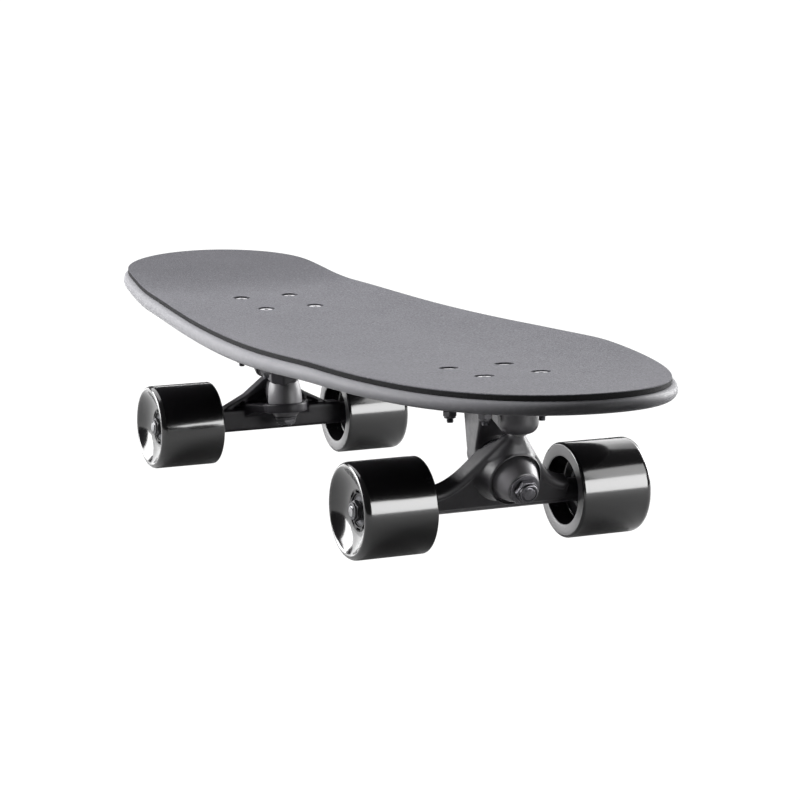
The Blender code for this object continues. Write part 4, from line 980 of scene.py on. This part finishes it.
# The neck under the pivot: rings of points (front or back cos, half width sin), each cos and sin to the
# power neckPower, that fill the A-frame's outline. The front rises by neckSlope of the distance below
# the pivot, and the back stays backClear under the pivot's level, where the axis leans at 29.4 degrees.
def neckForm(truck):
    below = np.linspace(aFrame["neckFrom"], aFrame["neckTo"], 16)[:, None]
    turn = roundTurn(40)
    up = aFrame["apexUp"] - truck["pivotUp"] + below
    wide = aFrame["apexHalf"] + aFrameSlope * up - aFrame["neckInset"]
    fade = np.clip((aFrame["neckTo"] - below) / aFrame["neckFade"], 0, 1) ** 0.5
    front = (aFrame["neckDeep"] + aFrame["neckSlope"] * (below - aFrame["neckFrom"])) * fade
    back = (0.871 * below - aFrame["backClear"]) / 0.491
    back = np.clip(back, aFrame["backThin"], aFrame["backThick"])
    ways = np.array([np.cos(turn), np.sin(turn)])
    ahead, aside = np.sign(ways) * abs(ways) ** aFrame["neckPower"]
    rings = stacked(np.where(ahead > 0, front, back) * ahead, wide * aside, -below)
    return movedForm(loftForm(rings), truck["cup"])


# The bell that rises from the A-frame's face to the ring: radius = lip + (foot - lip)(1 - s)^bellPower,
# where the foot stays inside the A-frame's sides; the last twelfth of the way rounds the lip
def bellForm(truck):
    s, turn = np.linspace(0, 1, 18)[:, None], roundTurn(96)
    low, high = aFrame["faceOut"] - aFrame["sunk"] - 1.0, aFrame["collarOut"]
    lipRadius = seatRadius + aFrame["lipWall"]
    side = aFrame["apexHalf"] + aFrameSlope * aFrame["apexUp"]
    reach = side / np.maximum(0.3, abs(np.sin(turn)) - aFrameSlope * np.cos(turn)) - aFrame["bellInset"]
    foot = np.clip(reach, lipRadius + 0.2, aFrame["bell"])
    radius = lipRadius + (foot - lipRadius) * (1 - s) ** aFrame["bellPower"]
    radius = radius - aFrame["lipEdge"] * np.clip(s * 12 - 11, 0, 1) ** 2
    return movedForm(loftForm(roundPoints(radius, turn, low + (high - low) * s)), truck["pin"])


# The rounded rails along both edges of the A-frame, from the apex down the sides and out along the arms
def railForms():
    outline, rail = aFrameOutline(), aFrame["rail"]
    path = outline[:len(outline) // 2 - 9]
    inner = path - leftOf(np.gradient(path, axis=0)) * rail
    bars = [barAlong(inner * (side, 1), aFrame["faceOut"] - rail, rail) for side in (1, -1)]
    return [movedForm(form, acrossX) for form in bars]


def makeFrontHanger(truck):
    x, z = truck["pivotAt"]
    apexPlace = truck["root"] @ shifted(x, 0, z - boss["drop"] - aFrame["apexGap"])
    apexCut = movedForm(prismForm(roundedRectangle(-40, 40, 40, 5), 0, 40), apexPlace)
    thin = [(-20, aFrame["thinFrom"]), (aFrameBack + 1, aFrame["thinFrom"]), aFrame["thinTo"], (-20, 45)]
    thinCut = sideForm(thin, 40, 0, truck["steer"])
    face = prismForm(aFrameOutline(), aFrameBack, aFrame["faceOut"] - aFrame["sunk"], aFrame["edge"])
    flat = [movedForm(face, acrossX)] + railForms()
    forms = [carved(movedForm(form, truck["steer"]), [apexCut, thinCut]) for form in flat]
    forms += [
        collarForm(truck, -aFrame["collarIn"], aFrame["faceOut"], aFrame["collarWall"]), bellForm(truck),
        neckForm(truck), barForm(truck), pivotForm(truck, aFrame["armReach"], aFrame["armBase"]),
    ]
    lipCut = drum(seatRadius + aFrame["lipRoom"], truck["roadFloor"], aFrame["collarOut"] + 2)
    cuts = [movedForm(aFramePocket(), truck["steer"] @ acrossX), movedForm(lipCut, truck["pin"])]
    cuts += [ringSpace(truck, -aFrame["collarIn"] - 2, aFrame["collarOut"] + 2), axleBore(truck)]
    castPiece("frontHangerCasting", forms, cuts, "cast", truck["hanger"], "front_hanger")


web = {
    "apexHalf": 6.5, "apexUp": 34.5, "shoulderHalf": 24.6, "shoulderUp": 20.5, "armHalf": 41.8, "armUp": 11.8,
    "near": -6.0, "far": 5.0, "edge": 1.2, "pocket": 8.0, "rib": 2.4, "postHalf": 26.4, "ringHalf": 3.6,
    "collarWall": 2.0, "bodyHalf": 8.0, "bodyTop": 9.8, "bodyEdge": 2.2, "bodyReach": 56.0, "columnHalf": 4.0,
    "columnTop": 5.0, "columnWide": 19.0, "columnDeep": 4.5, "columnPower": 2.6, "yokeHalf": 27.0,
    "yokeTop": 13.9, "yokeEdge": 0.9, "neck": 14.0, "neckBase": 11.0,
}


# The column between the web's pockets: ovals that widen down to the yoke, half width =
# top + (wide - top) s^columnPower
def columnForm(truck):
    s, turn = np.linspace(0, 1, 16)[:, None], roundTurn(40)
    wide = web["columnTop"] + (web["columnWide"] - web["columnTop"]) * s ** web["columnPower"]
    deep = web["columnDeep"] + 3.0 * s
    level = web["apexUp"] - 1 - (web["apexUp"] - truck["ring"][1]) * s
    return movedForm(loftForm(stacked(deep * np.cos(turn) - 2, wide * np.sin(turn), level)), truck["root"])


# The yoke: a block that narrows from the body to the ring, with its underside cut away toward the ring
def yokeForm(truck):
    (ringX, ringZ), half, low = truck["ring"], web["bodyHalf"], -web["bodyHalf"] - 2
    wide, back, near = seatRadius + web["collarWall"] - 3, -half - 1, 0.3 - half
    plan = [(2, -web["yokeHalf"]), (back, -web["yokeHalf"]), (ringX, -wide)]
    plan = [(x, -y) for x, y in plan] + plan[::-1]
    block = movedForm(prismForm(plan, 0.5 - half, web["yokeTop"], web["yokeEdge"]), truck["root"])
    foot = ringZ - web["ringHalf"] + 0.4
    wedge = [(near, low), (near, 4.0), (ringX + 12, foot - 1), (ringX - 20, foot + 1), (ringX - 20, low)]
    return carved(block, [sideForm(wedge, 40, 0, truck["root"])])


# Two pockets on each side of the web, with a rib between them
def webPockets(truck):
    low, rib, post, up = web["bodyTop"], web["rib"], web["postHalf"], web["shoulderUp"]
    inner, middle, top = post - rib, web["columnHalf"], web["apexUp"] - 2.5 * rib
    near = [(middle, low, 2.0), (middle, top, 2.0), (inner, up - rib * 1.2, 1.5), (inner, low, 1.0)]
    far = [(post, low, 1.0), (post, up - rib * 1.6, 1.0), (web["armHalf"] - rib, low, 1.0)]
    outlines = [[(side * y, z, fillet) for y, z, fillet in half] for side in (1, -1) for half in (near, far)]
    front, back = web["near"] - 2, web["near"] + web["pocket"]
    return [faceForm(filleted(outline)[0], front, back, 0, truck["root"]) for outline in outlines]


def makeRearHanger(truck):
    side = [
        (web["apexHalf"], web["apexUp"], 3.0), (web["shoulderHalf"], web["shoulderUp"], 4.0),
        (web["armHalf"], web["armUp"], 6.0), (web["armHalf"] + bar["radius"], bar["radius"] / 2, 2.0),
        (web["armHalf"], -bar["radius"] / 2, 2.0),
    ]
    webForm = faceForm(filleted(mirrored(side))[0], web["near"], web["far"], web["edge"], truck["root"])
    half = web["bodyHalf"]
    square = [(half, web["bodyTop"]), (-half, web["bodyTop"]), (-half, -half), (half, -half)]
    body = filleted([(*corner, web["bodyEdge"]) for corner in square])[0]
    forms = [
        carved(webForm, webPockets(truck)), yokeForm(truck),
        sideForm(body, web["bodyReach"], 1.5, truck["root"]), columnForm(truck),
        collarForm(truck, -web["ringHalf"], web["ringHalf"], web["collarWall"]), barForm(truck),
        pivotForm(truck, truck["steerReach"] - web["neck"], web["neckBase"]),
    ]
    cuts = [ringSpace(truck, -web["ringHalf"] - 12, web["ringHalf"] + 12), axleBore(truck)]
    castPiece("rearHangerCasting", forms, cuts, "rearCast", truck["hanger"], "rear_hanger")


makeFrontHanger(trucks["front"])
makeRearHanger(trucks["rear"])
print("hangers ready")


# Kingpins, bushings, cups and axles

kingpin = {"head": 5.0, "pitch": 1.25, "nutCollar": 0.34}
washer = {"bore": 4.9, "low": 10.2, "high": 10.6}
flange = {"bore": 5.0, "low": 8.8, "high": 7.4, "overlap": 0.6}


def ringForm(sizes, low, high, highEdge):
    side = [(sizes["low"], low, 0.3), (sizes["high"], high, highEdge)]
    return turnedForm([(sizes["bore"], low), *side, (sizes["bore"], high)], closed=True)


def makeKingpin(truck):
    end, pin, drop = truck["end"], truck["pin"], truck["nutDrop"]
    headHigh, shankTop = truck["headAt"] - touch, truck["washerLow"] - 2
    form = joinForms([
        nutForm(kingpinFlats, headHigh - kingpin["head"], headHigh, 0.0, collar=0),
        drum(kingpinRadius, headHigh - 4, shankTop, steps=64),
        threadForm(kingpinRadius, shankTop - 0.5, truck["pinEnd"] + drop, kingpin["pitch"], steps=64),
    ])
    node = end + "_kingpin"
    makePiece(end + "KingpinBolt", movedForm(form, pin), "blackSteel", "board", "black_steel", node)
    low, high = truck["nutLow"] + drop, truck["nutHigh"] + drop
    nut = nutForm(kingpinFlats, low, high, kingpinRadius + 0.05, kingpin["nutCollar"])
    if end == "rear":
        nut = joinForms([nut, ringForm(flange, truck["washerLow"] + drop, low + flange["overlap"], 0.3)])
    else:
        form, node = ringForm(washer, truck["washerLow"], low - touch, 0.4), "front_kingpin_washer"
        makePiece("frontKingpinCupWasher", movedForm(form, pin), "blackSteel", "board", "black_steel", node)
    finish = "blackSteel" if end == "front" else "zinc"
    makePiece(end + "KingpinLockNut", movedForm(nut, pin), finish, "board", "zinc", end + "_kingpin_nut")


# Radius at the board's end and at the road's end, and the bulge between them
bushings = {
    "front": {"board": (13.6, 13.6, 0.9), "road": (16.5, 10.6, 0.4), "sunk": 0.0},
    "rear": {"board": (11.3, 13.4, 0.8), "road": (11.4, 8.2, 0.2), "sunk": 4.5},
}


# A bushing: a barrel whose side bows out by bulge * sin(pi t) between its two end radii
def bushingForm(low, high, base, top, bulge):
    bore, edge, t = kingpinRadius + 0.1, 0.9, np.linspace(0, 1, 25)
    depth = np.clip(1 - np.minimum(t, 1 - t) * (high - low) / edge, 0, 1)
    side = base + (top - base) * t + bulge * np.sin(math.pi * t) - edge * (1 - np.sqrt(1 - depth**2))
    corners = [(bore, low), *zip(side, low + (high - low) * t), (bore, high)]
    return turnedForm(corners, closed=True)


def makeBushing(truck, part, low, high):
    form = movedForm(bushingForm(low, high, *bushings[truck["end"]][part]), truck["pin"])
    piece = meshPiece(truck["end"] + part.capitalize() + "Bushing", form, finishes[truck["end"] + "Bushing"])
    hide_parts(f"{truck['end']}_{part}_bushing")
    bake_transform(piece)


def makeBushings(truck):
    low, high = truck["boardSeat"] + 0.05, truck["boardFloor"] - 0.05
    makeBushing(truck, "board", low - bushings[truck["end"]]["sunk"], high)
    low, high = truck["roadFloor"] + 0.05, truck["washerLow"] - 0.05
    makeBushing(truck, "road", low, high + truck["nutDrop"])


def makeCup(truck):
    floor, skirt, inner = cup["floor"], -cup["skirt"], cup["inner"]
    corners = [(0, floor), (cupRadius, floor, 0.6), (cupRadius, skirt, 0.4), (inner, skirt)]
    form = movedForm(turnedForm(corners + ballCorners(inner), steps=64), truck["cup"])
    makePiece(truck["end"] + "PivotCup", form, "cup", "board", "cup", truck["end"] + "_pivot_cup")


wheel = {
    "offset": 79.0, "width": 52.0, "edge": 4.5, "innerEdge": 1.8, "lip": 29.6, "dish": 8.1, "core": 14.0,
    "recess": 23.2, "recessDepth": 13.7, "waist": 8.5, "bearing": 11.0, "bearingWidth": 7.0, "sink": 0.9,
    "race": 5.8, "raceProud": 0.6, "nutFlats": 12.7, "nutHeight": 4.6, "pockets": 8, "pocketDepth": 3.5,
    "pocketShare": 0.62,
}
coreIn = wheel["recessDepth"] - wheel["width"] / 2
coreOut = wheel["width"] / 2 - wheel["dish"]
sleeveOut = coreOut - wheel["sink"] + wheel["raceProud"]
axle = {"thread": 8.5, "pitch": 1.0, "overlap": 0.5, "proud": 0.8}


def makeAxle(truck):
    end, radius = wheel["offset"] + sleeveOut + touch + wheel["nutHeight"] + axle["proud"], bar["axle"]
    start = end - axle["thread"]
    thread, plain = threadForm(radius, start, end, axle["pitch"], steps=48), start + axle["overlap"]
    form = joinForms([drum(radius, -plain, plain, steps=48), thread, upsideDown(thread)])
    form, node = movedForm(form, truck["axle"]), truck["end"] + "_axle"
    makePiece(truck["end"] + "AxleRod", form, "steel", truck["hanger"], "steel", node)


for truck in trucks.values():
    makeKingpin(truck)
    makeBushings(truck)
    makeCup(truck)
    makeAxle(truck)
print("kingpins, bushings and axles ready")


# Wheels: turned about the axle, z from the wheel's middle to its outer face

def tyreForm():
    half, bore, lipRadius = wheel["width"] / 2, wheel["core"] + 0.05, wheel["lip"]
    edge, recess = wheel["innerEdge"], wheel["recess"]
    dish = [
        (bore + (lipRadius - 0.5 - bore) * s, coreOut + wheel["dish"] * (0.25 * s + 0.75 * s**2.2))
        for s in np.linspace(0, 1, 15)
    ]
    outer = [
        (lipRadius + (wheelRadius - lipRadius) * math.sin(t), half - wheel["edge"] * (1 - math.cos(t)))
        for t in np.linspace(0.08, 0.5, 7) * math.pi
    ]
    inner = [
        (wheelRadius - edge * (1 - math.cos(t)), edge * (1 - math.sin(t)) - half)
        for t in np.linspace(0, 0.45, 7) * math.pi
    ]
    foot = wheelRadius - edge
    inner += [
        (foot, -half, 0, 0.5), (foot - 0.3, -half, 0, 1), (recess + 0.8, -half, 0, 1),
        (recess + 0.2, 0.3 - half, 0, 0.8), (recess, 0.9 - half), (recess - 0.6, coreIn, 1.5), (bore, coreIn),
    ]
    return turnedForm([*dish, (lipRadius, half), *outer, *inner], closed=True, steps=144)


def coreForm():
    core, seat, waist = wheel["core"], wheel["bearing"] + 0.05, wheel["waist"]
    depth = wheel["sink"] + wheel["bearingWidth"] + 0.05
    corners = [
        (core, coreIn, 0.3), (core, coreOut, 0.3), (seat, coreOut, 0.3), (seat, coreOut - depth),
        (waist, coreOut - depth), (waist, coreIn + depth), (seat, coreIn + depth), (seat, coreIn, 0.3),
    ]
    return turnedForm(corners, closed=True)


def corePockets():
    half = math.pi / wheel["pockets"] * wheel["pocketShare"]
    swing = np.linspace(-half, half, 9)
    outer, inner = wheel["core"] - 0.55, wheel["bearing"] + 0.75
    outline = np.concatenate([roundPoints(outer, swing, 0), roundPoints(inner, swing[::-1], 0)])[:, :2]
    pocket = prismForm(outline, coreOut - wheel["pocketDepth"], coreOut + 2)
    ways = [(math.cos(turn), math.sin(turn), 0) for turn in roundTurn(wheel["pockets"])]
    return [movedForm(pocket, placed((0, 0, 0), way, (0, 0, 1))) for way in ways]


# A shielded bearing: outer race, a sunk dark shield with a bead, and the edge toward the inner race
def bearingForm(low):
    high = low + wheel["bearingWidth"]
    half = [(6.2, 0.35, 0, 1), (9.4, 0.35, 0, 1), (9.5, 0, 0.1, 0), (wheel["bearing"], 0, 0.4, 0)]
    corners = [(radius, low + z, *rest) for radius, z, *rest in half]
    corners += [(radius, high - z, *rest) for radius, z, *rest in reversed(half)]
    return turnedForm(corners, closed=True, arcPoints=4)


def sleeveForm():
    low, high, bore, race = bar["end"] + touch - wheel["offset"], sleeveOut, bar["axle"] + 0.15, wheel["race"]
    return turnedForm([(bore, low), (race, low, 0.3), (race, high, 0.4), (bore, high)], closed=True, steps=64)


def makeWheel(end, word, side, truck):
    name, node = end + word.capitalize(), f"{end}_{word}"
    out = np.array((0, side, 0))
    place = placed(truck["root"][:3, 3] + out * wheel["offset"], (1, 0, 0), out)
    body, low, form = node + "_wheel", sleeveOut + touch, movedForm(tyreForm(), place)
    makePiece(name + "Tyre", form, "urethane", body, "urethane", node + "_tyre", angle=50)
    form, cuts = movedForm(coreForm(), place), [movedForm(cut, place) for cut in corePockets()]
    makePiece(name + "Core", form, "core", body, "core", node + "_core", cuts)
    bearings = {"Outer": coreOut - wheel["sink"] - wheel["bearingWidth"], "Inner": coreIn + wheel["sink"]}
    for part, at in bearings.items():
        form, ring = movedForm(bearingForm(at), place), f"{node}_{part.lower()}_bearing"
        makePiece(name + part + "Bearing", form, "bearing", body, "bearing", ring)
    form = movedForm(sleeveForm(), place)
    makePiece(name + "Sleeve", form, "steel", truck["hanger"], "steel", node + "_sleeve")
    nut = nutForm(wheel["nutFlats"], low, low + wheel["nutHeight"], bar["axle"] + 0.05, collar=0.3)
    makePiece(name + "AxleNut", movedForm(nut, place), "zinc", truck["hanger"], "zinc", node + "_axle_nut")


for end, truck in trucks.items():
    makeWheel(end, "left", 1, truck)
    makeWheel(end, "right", -1, truck)
print("wheels ready")


# The studio, in metres

studio = {
    "camera": (1.7578, -0.7641, 0.3603), "right": (0.411, 0.912, -0.016), "up": (-0.129, 0.076, 0.989),
    "lens": 119.0, "floor": 6.0, "floorGlow": 0.08, "ambient": 0.1, "behind": 1.1,
}
panels = {
    "strip": {"azimuth": 26.0, "distance": 2.4, "low": -0.28, "high": 1.1, "width": 1.4, "strength": 13.0},
    "side": {"azimuth": 37.0, "distance": 2.7, "low": 0.9, "high": 2.6, "width": 1.2, "strength": 4.5},
    "back": {"azimuth": -152.0, "distance": 2.6, "low": -0.6, "high": 0.9, "width": 2.6, "strength": 2.8},
    "high": {"azimuth": 136.0, "distance": 2.1, "low": 0.75, "high": 3.6, "width": 2.6, "strength": 1.6},
}
softboxes = {
    "overhead": {"at": (-1.3, 0.0, 2.3), "size": 3.0, "power": 100.0},
    "left": {"at": (-1.6, -2.0, 0.9), "size": 1.7, "power": 160.0},
    "right": {"at": (-0.5, 2.3, 0.9), "size": 1.7, "power": 145.0},
}


# Four corners as a sheet that reflections see, and the camera doesn't
def makeSheet(name, corners, finish):
    sheet = meshPiece(name, sheetForm(np.array(corners).reshape(2, 2, 3) / millimetre), finish.material)
    sheet.visible_diffuse = False
    sheet.visible_camera = False
    return sheet


# A pale floor. The photo's ground is pure white, as the world behind the board is here, so the camera
# sees no floor.
def makeFloor():
    finish = Finish("pale floor", (0.75, 0.75, 0.75), 0.8)
    finish.patches(0.002, 0.4, 0.7, 0.3, (0.72, 0.72, 0.72))
    finish.glow(studio["floorGlow"])
    reach = studio["floor"]
    corners = [(x * reach, y * reach, -0.00005) for x, y in ((-1, -1), (-1, 1), (1, -1), (1, 1))]
    makeSheet("studioFloor", corners, finish)


def makePanel(name, azimuth, distance, low, high, width, strength):
    (x, y), half = wayAt(azimuth), width / 2
    finish = Finish(name + " glow", (0.8, 0.8, 0.8), 0.5)
    finish.glow(strength)
    places = [(side, z) for z in (low, high) for side in (-half, half)]
    corners = [(x * distance - y * side, y * distance + x * side, z) for side, z in places]
    makeSheet(name, corners, finish).visible_shadow = False


def makeSoftbox(name, at, size, power):
    light = bpy.data.lights.new(name, "AREA")
    light.energy = power
    light.size = size
    made = linked(name, light)
    made.location = at
    made.rotation_euler = (Vector((0, 0, 0.08)) - Vector(at)).to_track_quat("-Z", "Y").to_euler()
    made.visible_camera = False


# White behind the board, and a dim even light everywhere else
def makeWorld():
    world = bpy.data.worlds.new("studio")
    bpy.context.scene.world = world
    world.use_nodes = True
    nodes, links = world.node_tree.nodes, world.node_tree.links
    back = nodes["Background"]
    back.inputs["Color"].default_value = (1, 1, 1, 1)
    strength = nodes.new("ShaderNodeMapRange")
    strength.inputs["To Min"].default_value = studio["ambient"]
    strength.inputs["To Max"].default_value = studio["behind"]
    links.new(nodes.new("ShaderNodeLightPath").outputs["Is Camera Ray"], strength.inputs["Value"])
    links.new(strength.outputs["Result"], back.inputs["Strength"])
    bpy.context.scene.view_settings.view_transform = "Standard"


def makeCamera():
    data = bpy.data.cameras.new("photo camera")
    data.lens = studio["lens"]
    data.sensor_width = 36
    camera = linked("photo camera", data)
    right, up = Vector(studio["right"]).normalized(), Vector(studio["up"])
    back = right.cross(up).normalized()
    turn = Matrix((right, back.cross(right), back)).transposed()
    camera.matrix_world = Matrix.Translation(studio["camera"]) @ turn.to_4x4()
    bpy.context.scene.camera = camera


makeFloor()
for name, panel in panels.items():
    makePanel(name + "Panel", **panel)
makeWorld()
makeCamera()
for name, box in softboxes.items():
    makeSoftbox(name + " softbox", **box)
print("studio ready")
